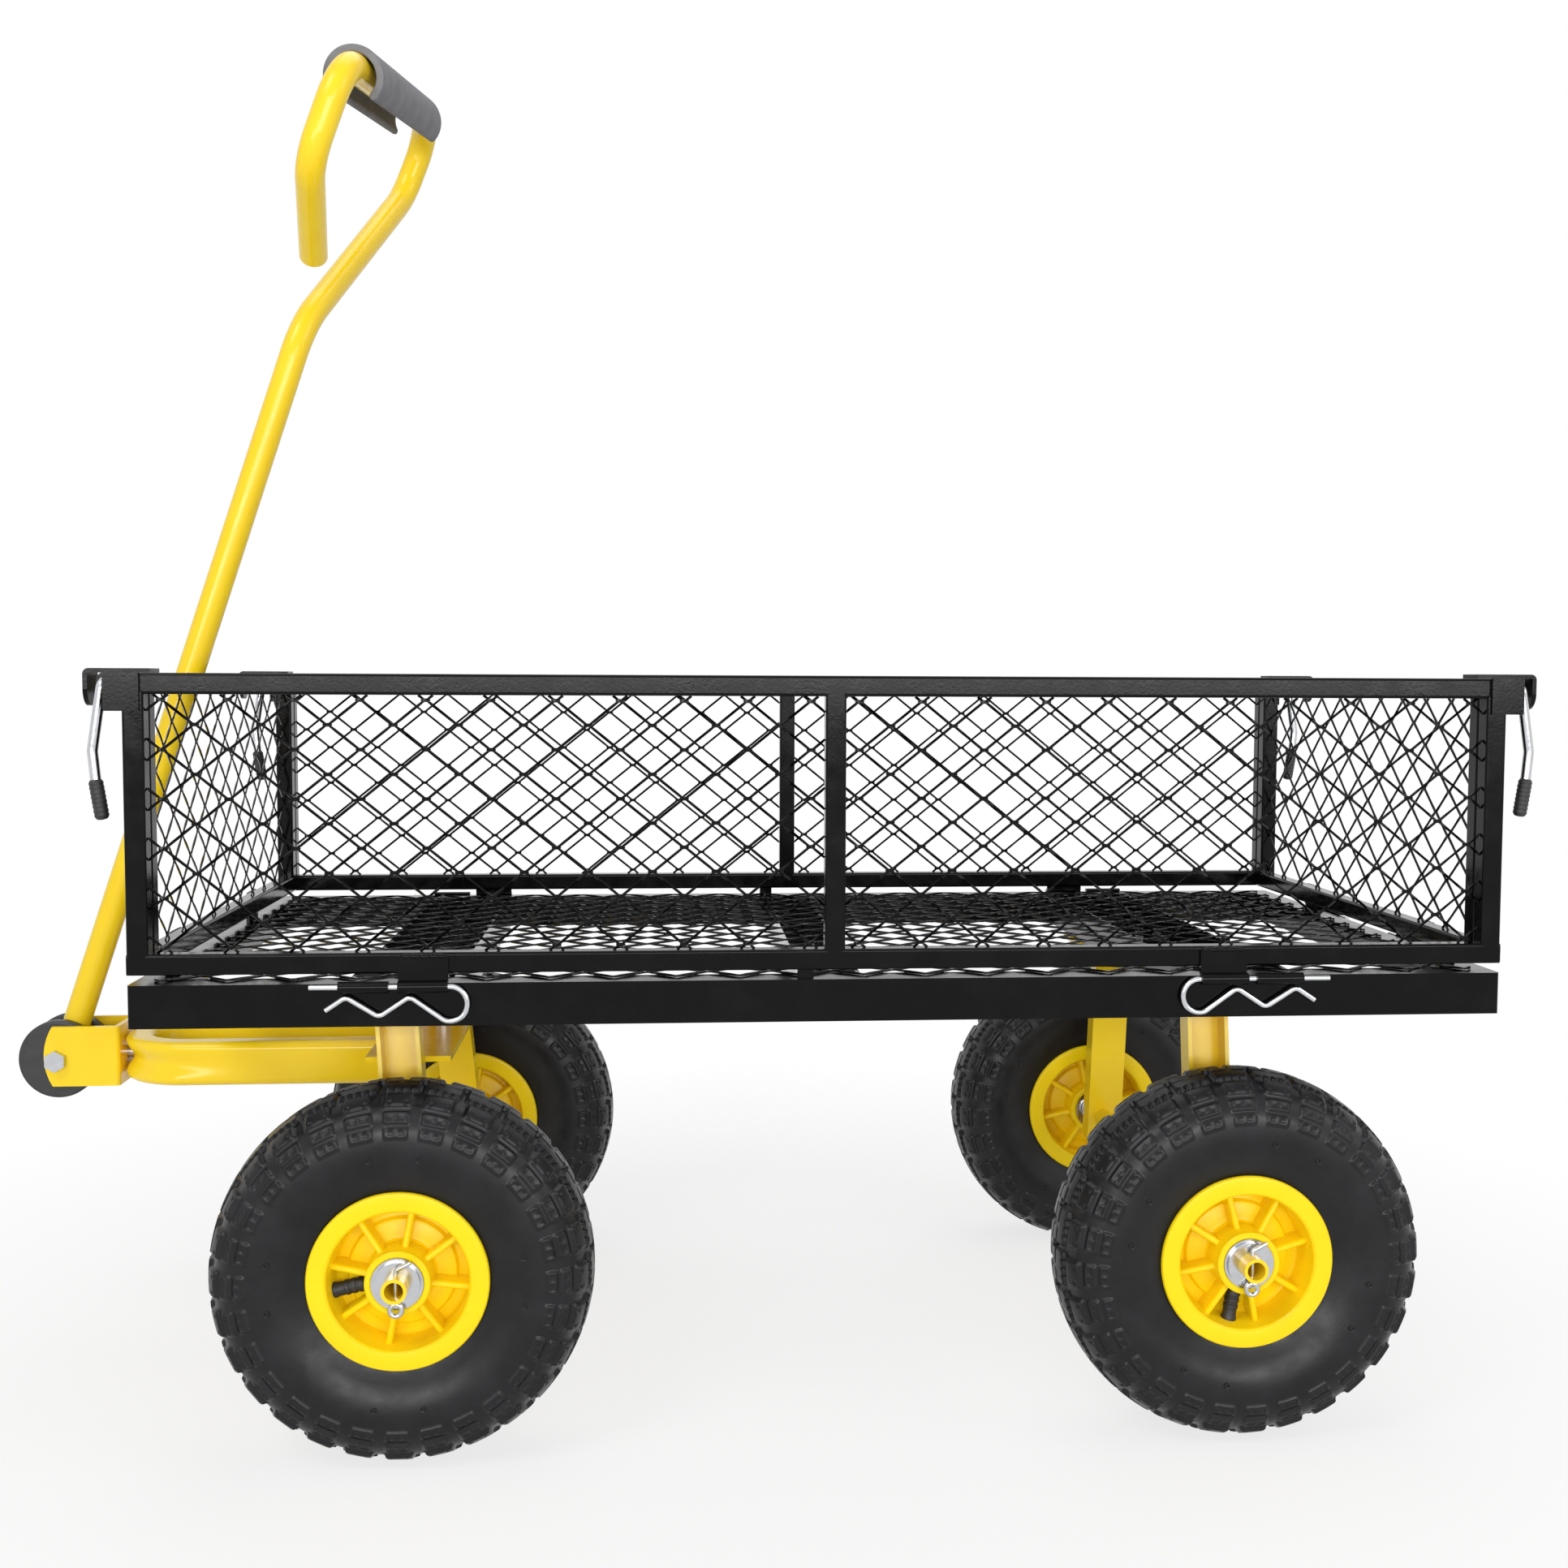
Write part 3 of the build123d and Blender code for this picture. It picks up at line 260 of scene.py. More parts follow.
# Spring clips in the hinges, latch levers and loose hardware: drawn wire and turned steel with a thin
# zinc plating that is bright, slightly blue and finely streaked.
zinc, tree, shader, place = new_finish("zinc_plate", (0.56, 0.57, 0.59), 0.25, 1.0)
streaks = spread(tree, speckle(tree, place, 140.0, 4.0), 0.0, 1.0)
tint(tree, shader, streaks, (0.53, 0.54, 0.56), (0.6, 0.61, 0.63))
tree.links.new(spread(tree, speckle(tree, place, 320.0, 3.0), 0.12, 0.24), shader.inputs["Roughness"])
roughen(tree, shader, speckle(tree, place, 1500.0, 2.0), 0.06, 0.0001)
cart_corners = [(end, side) for end in ("front", "rear") for side in ("left", "right")]
for end, side in cart_corners:
    dress(f"spring_clip_{side}_{end}", zinc)
    dress(f"spring_clip_{end}_{side}", zinc)
    dress(f"latch_lever_{end}_{side}", zinc)
for node in ("front_axle_hardware", "rear_axle_hardware", "chassis_bolts", "kingpin", "clevis_bolts"):
    dress(node, zinc)

# Lever grips: short sleeves of black plastic moulded with close rings, pushed on the ends of the rods.
grip_rings = 9
grip_radius = 0.0048
grip_half = 0.0139
grip_hang = np.array([2.5, 0.0, 16.0])
ring_depth = 0.00015
black_plastic, tree, shader, place = new_finish("black_moulding", (0.014, 0.014, 0.014), 0.5)
mottle = spread(tree, speckle(tree, place, 90.0, 4.0), 0.0, 1.0)
tint(tree, shader, mottle, (0.011, 0.011, 0.011), (0.024, 0.024, 0.025))
tree.links.new(spread(tree, speckle(tree, place, 260.0), 0.42, 0.6), shader.inputs["Roughness"])
roughen(tree, shader, speckle(tree, place, 1200.0), 0.15, 0.0003)


def turned(start, axis, profile, steps):
    """A profile of distance along the axis and radius, carried round the axis; its ends close to points."""
    axis = np.asarray(axis, float) / np.linalg.norm(axis)
    first = np.cross(axis, [0.0, 1.0, 0.0] if abs(axis[1]) < 0.9 else [1.0, 0.0, 0.0])
    first /= np.linalg.norm(first)
    second = np.cross(axis, first)
    angle = np.linspace(0, 2 * np.pi, steps, endpoint=False)[:, None, None]
    along = profile[:, 0][None, :, None]
    radius = profile[:, 1][None, :, None]
    points = np.asarray(start) + axis * along + radius * (np.cos(angle) * first + np.sin(angle) * second)
    return points.reshape(-1, 3), grid_faces(steps, len(profile), wrap_rows=True)


along = np.linspace(0, 1, 90)
taper = np.sqrt(np.clip(1 - ((along - 0.5) / 0.5) ** 14, 0, 1))
ring_wave = ring_depth * np.cos(along * grip_rings * 2 * np.pi)
grip_profile = np.stack([along * grip_half * 2, (grip_radius - ring_depth + ring_wave) * taper], 1)
for end, side in cart_corners:
    node = f"lever_grip_{end}_{side}"
    low, high = (np.array(c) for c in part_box(node))
    lean = grip_hang * ([1, 0, -1] if end == "front" else [-1, 0, -1])
    lean /= np.linalg.norm(lean)
    points, faces = turned((low + high) / 2 - lean * grip_half, lean, grip_profile, 28)
    name = f"ribbed_grip_{end}_{side}"
    piece = put_piece(name, points, faces, f"lever_{end}_{side}", black_plastic)
    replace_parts(piece, node)

# Hinge welds: a short lumpy bead along the top of each panel's two tabs, sprayed over with the frame.
weld_length = 0.031
weld_least = 0.0012
weld_swell = 0.0008
weld_lumps = 5
weld_off_skirt = 0.0013
weld_above_bed = 0.0183
side_tab_front = 0.178
side_tab_rear = 0.184
end_tab = 0.104
bed_low, bed_high = (np.array(c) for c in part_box("bed_frame"))
along = np.linspace(0, 1, 60)
rounded_ends = np.sqrt(np.clip(1 - (2 * along - 1) ** 8, 0, 1))
lump = (weld_least + weld_swell * np.abs(np.sin(along * weld_lumps * np.pi))) * rounded_ends
weld_profile = np.stack([along * weld_length, lump], 1)
weld_height = bed_high[2] + weld_above_bed
weld_starts = {}
for panel, skirt in (("left", bed_low[1] - weld_off_skirt), ("right", bed_high[1] + weld_off_skirt)):
    first = ((bed_low[0] + side_tab_front, skirt), (1, 0, 0))
    second = ((bed_high[0] - side_tab_rear, skirt), (-1, 0, 0))
    weld_starts[panel] = [first, second]
for panel, skirt in (("front", bed_low[0] - weld_off_skirt), ("rear", bed_high[0] + weld_off_skirt)):
    weld_starts[panel] = [((skirt, across * end_tab), (0, across, 0)) for across in (-1, 1)]
for panel, starts in weld_starts.items():
    beads = [turned([*spot, weld_height], way, weld_profile, 14) for spot, way in starts]
    points = np.concatenate([bead[0] for bead in beads])
    faces = np.concatenate([beads[0][1], beads[1][1] + len(beads[0][0])])
    put_piece(f"{panel}_hinge_welds", points, faces, panel_body[panel], black_coat)

# Axles, struts, steering plates, clevis, yoke and handle: steel tube and plate under a gloss yellow
# powder coat, with a faint mottle and a calm surface.
yellow_coat, tree, shader, place = new_finish("yellow_powder_coat", (0.95, 0.66, 0.014), 0.2, gloss=0.35)
mottle = spread(tree, speckle(tree, place, 18.0, 4.0), 0.0, 1.0)
tint(tree, shader, mottle, (0.94, 0.64, 0.012), (0.96, 0.68, 0.018))
tree.links.new(spread(tree, speckle(tree, place, 75.0, 1.0), 0.16, 0.26), shader.inputs["Roughness"])
roughen(tree, shader, speckle(tree, place, 80.0, 0.0), 0.03, 0.0003)
for end in ("front", "rear"):
    dress(f"{end}_axle", yellow_coat)
    dress(f"{end}_struts", yellow_coat)
for node in ("steering_plates", "handle_clevis", "handle_tube"):
    dress(node, yellow_coat)

# Drawbar yoke: a flat-sided tube bent into a hairpin. The outer wall has folded in round the nose,
# so a groove runs along it and dies out on the two legs.
yoke_low, yoke_high = (np.array(c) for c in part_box("drawbar_yoke"))
yoke_half = (yoke_high[1] - yoke_low[1]) / 2
yoke_tube = 0.022
yoke_height = yoke_high[2] - yoke_low[2]
yoke_bend = yoke_half - yoke_tube / 2
yoke_corner = 0.006
yoke_wall = 0.0025
yoke_bore_shown = 0.06
yoke_middle = (yoke_low[2] + yoke_high[2]) / 2
groove_depth = 0.0065
groove_reach = 0.055
groove_half = 0.0075
leg_steps = 40
bend_x = yoke_low[0] + yoke_half


def rounded_outline(width, height, corner, steps):
    """A rectangle whose four corners are quarter circles, as a closed ring of points."""
    quarter = np.linspace(0, np.pi / 2, steps)
    sides = []
    for index, (x, y) in enumerate([(1, 1), (-1, 1), (-1, -1), (1, -1)]):
        angle = quarter + index * np.pi / 2
        middle = np.array([x * (width / 2 - corner), y * (height / 2 - corner)])
        sides.append(middle + corner * np.stack([np.cos(angle), np.sin(angle)], 1))
        fill = np.linspace(0, 1, steps + 1)[1:-1, None]
        after = (index + 1) * np.pi / 2
        nx, ny = [(-1, 1), (-1, -1), (1, -1), (1, 1)][index]
        hub = np.array([nx * (width / 2 - corner), ny * (height / 2 - corner)])
        end = hub + corner * np.array([np.cos(after), np.sin(after)])
        sides.append(sides[-1][-1] + (end - sides[-1][-1]) * fill)
    return np.concatenate(sides)


leg = yoke_high[0] - bend_x
straight = np.linspace(leg, 0, leg_steps, endpoint=False)
sweep_angle = np.linspace(-np.pi / 2, np.pi / 2, 90)
path = np.concatenate([
    np.stack([bend_x + straight, np.full(leg_steps, -yoke_bend)], 1),
    np.stack([bend_x - yoke_bend * np.cos(sweep_angle), yoke_bend * np.sin(sweep_angle)], 1),
    np.stack([bend_x + straight[::-1], np.full(leg_steps, yoke_bend)], 1),
])
outward = np.concatenate([
    np.tile([0.0, -1.0], (leg_steps, 1)),
    np.stack([-np.cos(sweep_angle), np.sin(sweep_angle)], 1),
    np.tile([0.0, 1.0], (leg_steps, 1)),
])
past_nose = np.concatenate([
    straight + yoke_bend,
    yoke_bend * (1 - np.cos(sweep_angle)),
    straight[::-1] + yoke_bend,
])
section = rounded_outline(yoke_tube, yoke_height, yoke_corner, 9)
fold = groove_depth * np.exp(-((past_nose / groove_reach) ** 2))[:, None]
pinch = np.exp(-((section[:, 1] / groove_half) ** 2)) * (section[:, 0] > 0)
across = section[:, 0][None] - fold * pinch[None]
level = np.broadcast_to(yoke_middle + section[:, 1], across.shape)
flat = path[:, None, :] + outward[:, None, :] * across[..., None]
points = np.concatenate([flat, level[..., None]], -1)
count = len(section)
inner = points[[0, -1]].copy()
bore_width, bore_height = yoke_tube - 2 * yoke_wall, yoke_height - 2 * yoke_wall
hollow = rounded_outline(bore_width, bore_height, yoke_corner - yoke_wall, 9)
for row, (spot, out) in enumerate(((path[0], outward[0]), (path[-1], outward[-1]))):
    inner[row, :, :2] = spot + out * hollow[:, :1]
    inner[row, :, 2] = yoke_middle + hollow[:, 1]
deep = inner.copy()
deep[:, :, 0] -= yoke_bore_shown
points = np.concatenate([deep[:1], inner[:1], points, inner[1:], deep[1:]])
faces = grid_faces(len(points), count, wrap_columns=True)
step = np.arange(count // 2 - 1)
cap = np.stack([step, step + 1, count - 2 - step, count - 1 - step], 1)
faces = np.concatenate([faces, cap[:, ::-1], cap + (len(points) - 1) * count])
piece = put_piece("folded_yoke", points, faces, "front_steering", yellow_coat)
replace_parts(piece, "drawbar_yoke")

# Tyres: black rubber moulded with a block tread. Centre blocks have saw-toothed edges and short slits,
# shoulder blocks stand beside them, and two rows of outlined pads run down the sidewall. The relief is
# worked out in millimetres off the crown line and in shares of one pitch round the tyre.
tread_pitches = 28
tread_steps = 25
tyre_radius = 0.130
tyre_half_width = 0.0424
tyre_clear = 0.0001
block_height = 3.1
slit_depth = 2.2
shoulder_height = 3.0
pit_depth = 1.6
rubber, tree, shader, place = new_finish("tyre_rubber", (0.006, 0.006, 0.007), 0.36, gloss=0.3)
bloom = spread(tree, speckle(tree, place, 30.0, 6.0), 0.0, 1.0, 0.4, 0.75)
tint(tree, shader, bloom, (0.004, 0.004, 0.005), (0.01, 0.01, 0.012))
tree.links.new(spread(tree, speckle(tree, place, 70.0, 5.0), 0.28, 0.46), shader.inputs["Roughness"])
roughen(tree, shader, speckle(tree, place, 900.0, 3.0), 0.12, 0.0004)
half_section = np.array([
    (126.7, 0), (126.3, 8), (125.0, 16), (122.7, 24), (119.0, 31), (113.5, 36.4), (106, 40.0), (98, 41.6),
    (90, 41.8), (82, 40.6), (74, 37.9), (67, 34.6), (62.6, 32.0), (58, 30.9), (51.6, 30.6),
]) / 1000


def smooth_curve(points, spots):
    """A cubic through the points, each tangent half the step between its neighbours, sampled at the
    given lengths along it."""
    points = np.asarray(points, float)
    tangent = np.gradient(points, axis=0)
    t = np.linspace(0, len(points) - 1, 1200)
    i = np.minimum(t.astype(int), len(points) - 2)
    u = (t - i)[:, None]
    p, q, m, n = points[i], points[i + 1], tangent[i], tangent[i + 1]
    line = (2 * u**3 - 3 * u**2 + 1) * p + (u**3 - 2 * u**2 + u) * m
    line = line + (3 * u**2 - 2 * u**3) * q + (u**3 - u**2) * n
    length = np.concatenate([[0], np.cumsum(np.linalg.norm(np.diff(line, axis=0), axis=1))])
    spots = np.minimum(spots, length[-1])
    return np.stack([np.interp(spots, length, line[:, k]) for k in range(points.shape[1])], 1)


def rise_to(x, low, high):
    """Zero below low, one above high and an S curve between."""
    u = np.clip((x - low) / (high - low), 0, 1)
    return u * u * (3 - 2 * u)


def band(x, low, high, soft):
    """One between low and high, falling to zero over a soft edge."""
    return rise_to(x, low - soft, low + soft) * (1 - rise_to(x, high - soft, high + soft))


spots = np.concatenate([
    np.linspace(0, 0.036, 37)[:-1],
    np.linspace(0.036, 0.057, 20)[:-1],
    np.linspace(0.057, 0.110, 10),
])
half_line = smooth_curve(half_section, spots)
line = np.concatenate([half_line[:0:-1] * [1, -1], half_line])
reach = np.concatenate([-spots[:0:-1], spots]) * 1000
slope = np.gradient(line, axis=0)
normal = np.stack([slope[:, 1], -slope[:, 0]], 1)
normal /= np.linalg.norm(normal, axis=1, keepdims=True)
turn = np.linspace(0, 2 * np.pi, tread_pitches * tread_steps, endpoint=False)
share = (turn * tread_pitches / (2 * np.pi) % 1)[:, None]
share = np.where(reach[None, :] > 0, share, (share + 0.5) % 1)
off_crown = np.abs(reach)[None, :]
saw = 1.4 * (np.abs((share * 5) % 1 * 2 - 1) * 2 - 1)
block = band(share, 0.07, 0.93, 0.035) * (1 - rise_to(off_crown, 16.6 + saw, 17.8 + saw))
slit = band(off_crown, 5.0, 6.6, 0.4) * band((share * 2) % 1, 0.16, 0.84, 0.06)
shoulder = band(share, 0.16, 0.84, 0.045) * band(off_crown, 22.0, 34.0, 0.7)
pit = np.exp(-((((np.abs(share - 0.5) - 0.2) * 26) / 1.1) ** 2 + ((off_crown - 31.0) / 1.1) ** 2))
relief = block_height * block - slit_depth * slit * block
relief = relief + shoulder_height * shoulder - pit_depth * pit * shoulder
for start, stop, height in ((37.6, 45.2, 1.7), (48.2, 54.8, 1.4)):
    pad = band(share, 0.17, 0.83, 0.035) * band(off_crown, start, stop, 0.6)
    sunk = band(share, 0.25, 0.75, 0.035) * band(off_crown, start + 2.0, stop - 2.0, 0.6)
    stud = np.exp(-((((share - 0.5) * 24) / 1.1) ** 2 + ((off_crown - (start + stop) / 2) / 1.1) ** 2))
    relief = relief + height * (pad - 0.6 * sunk + 0.7 * stud)
wall = line[:, 0][None, :] * 1000
relief = relief + 0.7 * band(wall, 66.6, 68.0, 0.5) + 0.5 * band(wall, 88.6, 89.6, 0.5)
relief = relief * (wall > 64.0) / 1000
section = line[None] + normal[None] * relief[..., None]
section[..., 0] = np.minimum(section[..., 0], tyre_radius - tyre_clear)
section[..., 1] = np.clip(section[..., 1], -tyre_half_width, tyre_half_width)
inside = np.array([
    (51.6, 24.0), (66, 27.0), (90, 34.0), (112, 27.0), (120, 0),
    (112, -27.0), (90, -34.0), (66, -27.0), (51.6, -24.0),
]) / 1000
section = np.concatenate([section, np.broadcast_to(inside, (len(turn), len(inside), 2))], 1)
tyre_points = np.stack([
    section[..., 0] * np.cos(turn)[:, None],
    section[..., 1],
    section[..., 0] * np.sin(turn)[:, None],
], -1).reshape(-1, 3)
tyre_faces = grid_faces(len(turn), section.shape[1], wrap_rows=True, wrap_columns=True)
wheel_turn = {"front": np.radians(12.5), "rear": np.radians(-9.5)}


def at_wheel(points, end, side):
    """Carry points drawn round the origin to a wheel, turned as far as that wheel has rolled."""
    low, high = (np.array(c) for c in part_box(f"wheel_rim_{end}_{side}"))
    x, y, z = np.moveaxis(np.asarray(points, float), -1, 0)
    c, s = np.cos(wheel_turn[end]), np.sin(wheel_turn[end])
    return np.stack([x * c - z * s, y, x * s + z * c], -1) + (low + high) / 2


for end, side in cart_corners:
    name = f"block_tyre_{end}_{side}"
    points = at_wheel(tyre_points, end, side)
    piece = put_piece(name, points, tyre_faces, f"{end}_{side}_wheel", rubber, 1.0)
    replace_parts(piece, f"tyre_{end}_{side}")

# Mould marks on the sidewalls: four pairs of small raised rings round a hole, on both sides of a tyre.
mark_ring = 0.086
mark_foot = 0.0405
mark_turns = (np.radians(168.0) + np.arange(4)[:, None] * np.pi / 2 + np.radians([-11.0, 11.0])).ravel()
mark_profile = np.array([(0, 0), (0, 2.1), (1.5, 2.1), (1.8, 1.8), (1.6, 1.3), (0.9, 1.0), (0.8, 0)]) / 1000
mark_points, mark_faces = [], []
for face in (1, -1):
    for angle in mark_turns:
        spot = [mark_ring * np.cos(angle), face * mark_foot, mark_ring * np.sin(angle)]
        mark, quads = turned(spot, [0, face, 0], mark_profile, 14)
        mark_faces.append(quads + len(mark) * len(mark_points))
        mark_points.append(mark)
for end, side in cart_corners:
    name = f"mould_marks_{end}_{side}"
    points = at_wheel(np.concatenate(mark_points), end, side)
    put_piece(name, points, np.concatenate(mark_faces), f"{end}_{side}_wheel", rubber)

# Inner tubes and their valves: each stem has a flared foot, a neck and a ribbed cap, all in black rubber.
valve_ring = 0.0478
valve_aside = 0.017
valve_profile = np.array([
    (0, 0), (0, 5.4), (3.4, 5.4), (5.0, 4.8), (9.6, 4.7), (10.0, 5.2), (12.4, 5.2), (12.8, 4.7), (14.2, 4.7),
    (14.6, 5.2), (17.0, 5.2), (17.4, 4.7), (18.8, 4.7), (19.2, 5.2), (22.4, 5.2), (23.6, 4.4), (23.9, 2.6),
    (24.0, 0),
]) / 1000
for end, side in cart_corners:
    dress(f"inner_tube_{end}_{side}", black_plastic)
    angle = np.pi if end == "front" else 1.5 * np.pi
    out = np.array([np.cos(angle), 0, np.sin(angle)])
    foot = out * valve_ring + [0, valve_aside if side == "right" else -valve_aside, 0]
    points, faces = turned(foot, -out, valve_profile, 28)
    points = at_wheel(points, end, side)
    put_piece(f"valve_{end}_{side}", points, faces, f"{end}_{side}_wheel", black_plastic)

# Wheel centres: moulded yellow plastic with a broad flanged ring, a stepped dish, a hub for the
# bearings and eight ribs on each face. The moulding is glossy, with a little flow mottle.
yellow_plastic, tree, shader, place = new_finish("yellow_moulding", (0.96, 0.69, 0.004), 0.3, gloss=0.25)
mottle = spread(tree, speckle(tree, place, 25.0, 5.0), 0.0, 1.0)
tint(tree, shader, mottle, (0.95, 0.67, 0.004), (0.97, 0.71, 0.006))
tree.links.new(spread(tree, speckle(tree, place, 110.0, 4.0), 0.24, 0.4), shader.inputs["Roughness"])
roughen(tree, shader, speckle(tree, place, 500.0, 2.0), 0.06, 0.0003)
rim_ribs = 8
rim_steps = 144
rim_half = np.array([
    (12.0, 0), (12.0, 27.5), (17.6, 27.5), (17.6, 36.6), (18.4, 37.4), (21.0, 37.4), (21.9, 36.6),
    (22.6, 14.0), (23.8, 12.2), (26.0, 11.6), (34.5, 10.8), (36.2, 10.0), (36.9, 8.2), (37.8, 6.6),
    (40.0, 6.0), (43.2, 6.0), (44.8, 7.0), (45.6, 9.0), (47.0, 31.0), (47.6, 33.4), (48.8, 34.6),
    (50.5, 35.0), (58.6, 35.0), (60.2, 34.6), (61.0, 33.4), (61.0, 31.8), (60.4, 31.1), (52.0, 31.0),
    (50.9, 30.4), (50.8, 28.0), (50.8, 0),
]) / 1000
rim_line = np.concatenate([rim_half, rim_half[-2:0:-1] * [1, -1]])
around = np.linspace(0, 2 * np.pi, rim_steps, endpoint=False)[:, None]
rim_points = np.stack([
    rim_line[:, 0] * np.cos(around),
    np.broadcast_to(rim_line[:, 1], (rim_steps, len(rim_line))),
    rim_line[:, 0] * np.sin(around),
], -1).reshape(-1, 3)
rim_faces = grid_faces(rim_steps, len(rim_line), wrap_rows=True, wrap_columns=True)
rib_foot = 0.005
rib_crown = 0.0275
rib_fall = 0.004
rib_out = np.linspace(0.0205, 0.0472, 9)
rib_arch = np.linspace(0, np.pi, 9)
rib_across = np.concatenate([[-0.0026], -0.0023 * np.cos(rib_arch), [0.0026]])
rib_top = rib_crown - rib_fall * (rib_out - rib_out[0]) / (rib_out[-1] - rib_out[0])
rib_rise = np.concatenate([[0.0], 0.88 + 0.12 * np.sin(rib_arch), [0.0]])
rib_lift = rib_foot + (rib_top[:, None] - rib_foot) * rib_rise
rib_x, rib_y, rib_z = np.broadcast_arrays(rib_out[:, None], rib_lift, rib_across)
rib_faces = grid_faces(len(rib_out), len(rib_across), wrap_columns=True)
wheel_points = [rim_points]
wheel_faces = [rim_faces]
for index in range(rim_ribs):
    angle = (index + 0.5) * 2 * np.pi / rim_ribs
    c, s = np.cos(angle), np.sin(angle)
    turned_rib = np.stack([rib_x * c - rib_z * s, rib_y, rib_x * s + rib_z * c], -1).reshape(-1, 3)
    for face in (1, -1):
        corner_order = rib_faces if face > 0 else rib_faces[:, ::-1]
        wheel_faces.append(corner_order + sum(len(p) for p in wheel_points))
        wheel_points.append(turned_rib * [1, face, 1])
for end, side in cart_corners:
    name = f"ribbed_wheel_{end}_{side}"
    points = at_wheel(np.concatenate(wheel_points), end, side)
    faces = np.concatenate(wheel_faces)
    piece = put_piece(name, points, faces, f"{end}_{side}_wheel", yellow_plastic, 0.5)
    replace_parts(piece, f"wheel_rim_{end}_{side}")
    dress(f"wheel_bearings_{end}_{side}", zinc)

# Handle pivot discs: two thick washers of dark grey plastic with softened rims.
disc_plastic, tree, shader, place = new_finish("dark_moulding", (0.02, 0.02, 0.021), 0.42)
mottle = spread(tree, speckle(tree, place, 120.0, 4.0), 0.0, 1.0)
tint(tree, shader, mottle, (0.016, 0.016, 0.017), (0.028, 0.028, 0.03))
tree.links.new(spread(tree, speckle(tree, place, 300.0), 0.36, 0.52), shader.inputs["Roughness"])
roughen(tree, shader, speckle(tree, place, 1400.0), 0.12, 0.0003)
dress("handle_discs", disc_plastic)

# Foam grip: a thick split sleeve of closed-cell foam slipped over the top of the loop. Its skin is matte
# and finely pitted, its slit faces down and its ends are cut square with a soft edge.
foam_radius = 0.022
foam_bore = 0.016
foam_length = 0.222
foam_slit = np.radians(95.0)
foam_margin = 0.029
foam_edge = 0.0025
lip_angle = 0.16
ring_steps = 60
tube_radius = 0.0105
shaft_length = 0.6
near_corner_across, near_corner_up = -0.150, 0.172
far_corner_across, far_corner_up = 0.158, 0.226
foam, tree, shader, place = new_finish("closed_cell_foam", (0.2, 0.2, 0.215), 0.8)
mottle = spread(tree, speckle(tree, place, 60.0, 5.0), 0.0, 1.0)
tint(tree, shader, mottle, (0.17, 0.17, 0.184), (0.23, 0.23, 0.246))
tree.links.new(spread(tree, speckle(tree, place, 400.0), 0.75, 0.95), shader.inputs["Roughness"])
roughen(tree, shader, speckle(tree, place, 1600.0, 4.0), 0.25, 0.0004)
pivot = np.array([-0.5295, 0.0, 0.234])
lean = np.radians(18.4)
tilt = np.radians(21.4)
loop_start = pivot + shaft_length * np.array([np.sin(lean), 0, np.cos(lean)])
loop_up = np.array([np.sin(tilt), 0, np.cos(tilt)])
near = loop_start + loop_up * near_corner_up + np.array([0, near_corner_across, 0])
far = loop_start + loop_up * far_corner_up + np.array([0, far_corner_across, 0])
axis = (far - near) / np.linalg.norm(far - near)
ahead = np.array([-np.cos(tilt), 0, np.sin(tilt)])
up = np.cross(axis, ahead)
up = up if up[2] > 0 else -up
slit_turn = np.radians(169.0)
slit_way = -ahead * np.sin(slit_turn) + up * np.cos(slit_turn)
beside = np.cross(axis, slit_way)
start = near + axis * foam_margin + slit_way * (foam_bore - tube_radius)
open_half = foam_slit / 2
sweep = np.linspace(open_half + lip_angle, 2 * np.pi - open_half - lip_angle, ring_steps)
lip = np.linspace(0, np.pi, 9)[1:-1]
middle_radius = (foam_radius + foam_bore) / 2
half_wall = (foam_radius - foam_bore) / 2


def lip_round(angle, sense):
    """The rounded edge of the slit: a half circle of the wall's thickness at that angle."""
    radius = middle_radius + half_wall * np.cos(lip) * sense
    swing = angle + sense * half_wall * np.sin(lip) / middle_radius
    return np.stack([radius, swing], 1)


outer = np.stack([np.full(ring_steps, foam_radius), sweep], 1)
inner = np.stack([np.full(ring_steps, foam_bore), sweep[::-1]], 1)
ring = np.concatenate([outer, lip_round(sweep[-1], 1), inner, lip_round(sweep[0], -1)])
end_steps = np.array([0, 0.0004, 0.0012, 0.0025])
between = np.linspace(0.008, foam_length - 0.008, 24)
along = np.concatenate([end_steps, between, foam_length - end_steps[::-1]])
edge = np.minimum(along, foam_length - along)
shrink = 1 - 0.35 * (1 - np.sqrt(np.clip(1 - (1 - np.minimum(edge / foam_edge, 1)) ** 2, 0, 1)))
radius = middle_radius + (ring[None, :, 0] - middle_radius) * shrink[:, None]
angle = ring[:, 1][None, :, None]
out = np.cos(angle) * slit_way + np.sin(angle) * beside
points = start + axis * along[:, None, None] + radius[..., None] * out
faces = grid_faces(len(along), len(ring), wrap_columns=True)
lip_steps = len(lip)
outer_side = np.arange(ring_steps)
inner_side = 2 * ring_steps + lip_steps - 1 - outer_side
cap = np.stack([outer_side[:-1], outer_side[1:], inner_side[1:], inner_side[:-1]], 1)


def lip_faces(first, before, after):
    """Four-sided faces across the end of one lip, from the two corners of the wall beside it."""
    forth = first + np.arange(lip_steps)
    back = forth[::-1]
    return np.stack([[before, *forth[:2]], forth[:3], back[:3], [after, *back[:2]]], 1)


lip_cap = lip_faces(ring_steps, ring_steps - 1, ring_steps + lip_steps)
lip_tail = lip_faces(2 * ring_steps + lip_steps, 2 * ring_steps + lip_steps - 1, 0)
end_cap = np.concatenate([cap, lip_cap, lip_tail])
faces = np.concatenate([faces, end_cap[:, ::-1], end_cap + (len(along) - 1) * len(ring)])
piece = put_piece("split_foam_grip", points, faces, "pull_handle", foam, 0.8)
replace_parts(piece, "foam_grip")

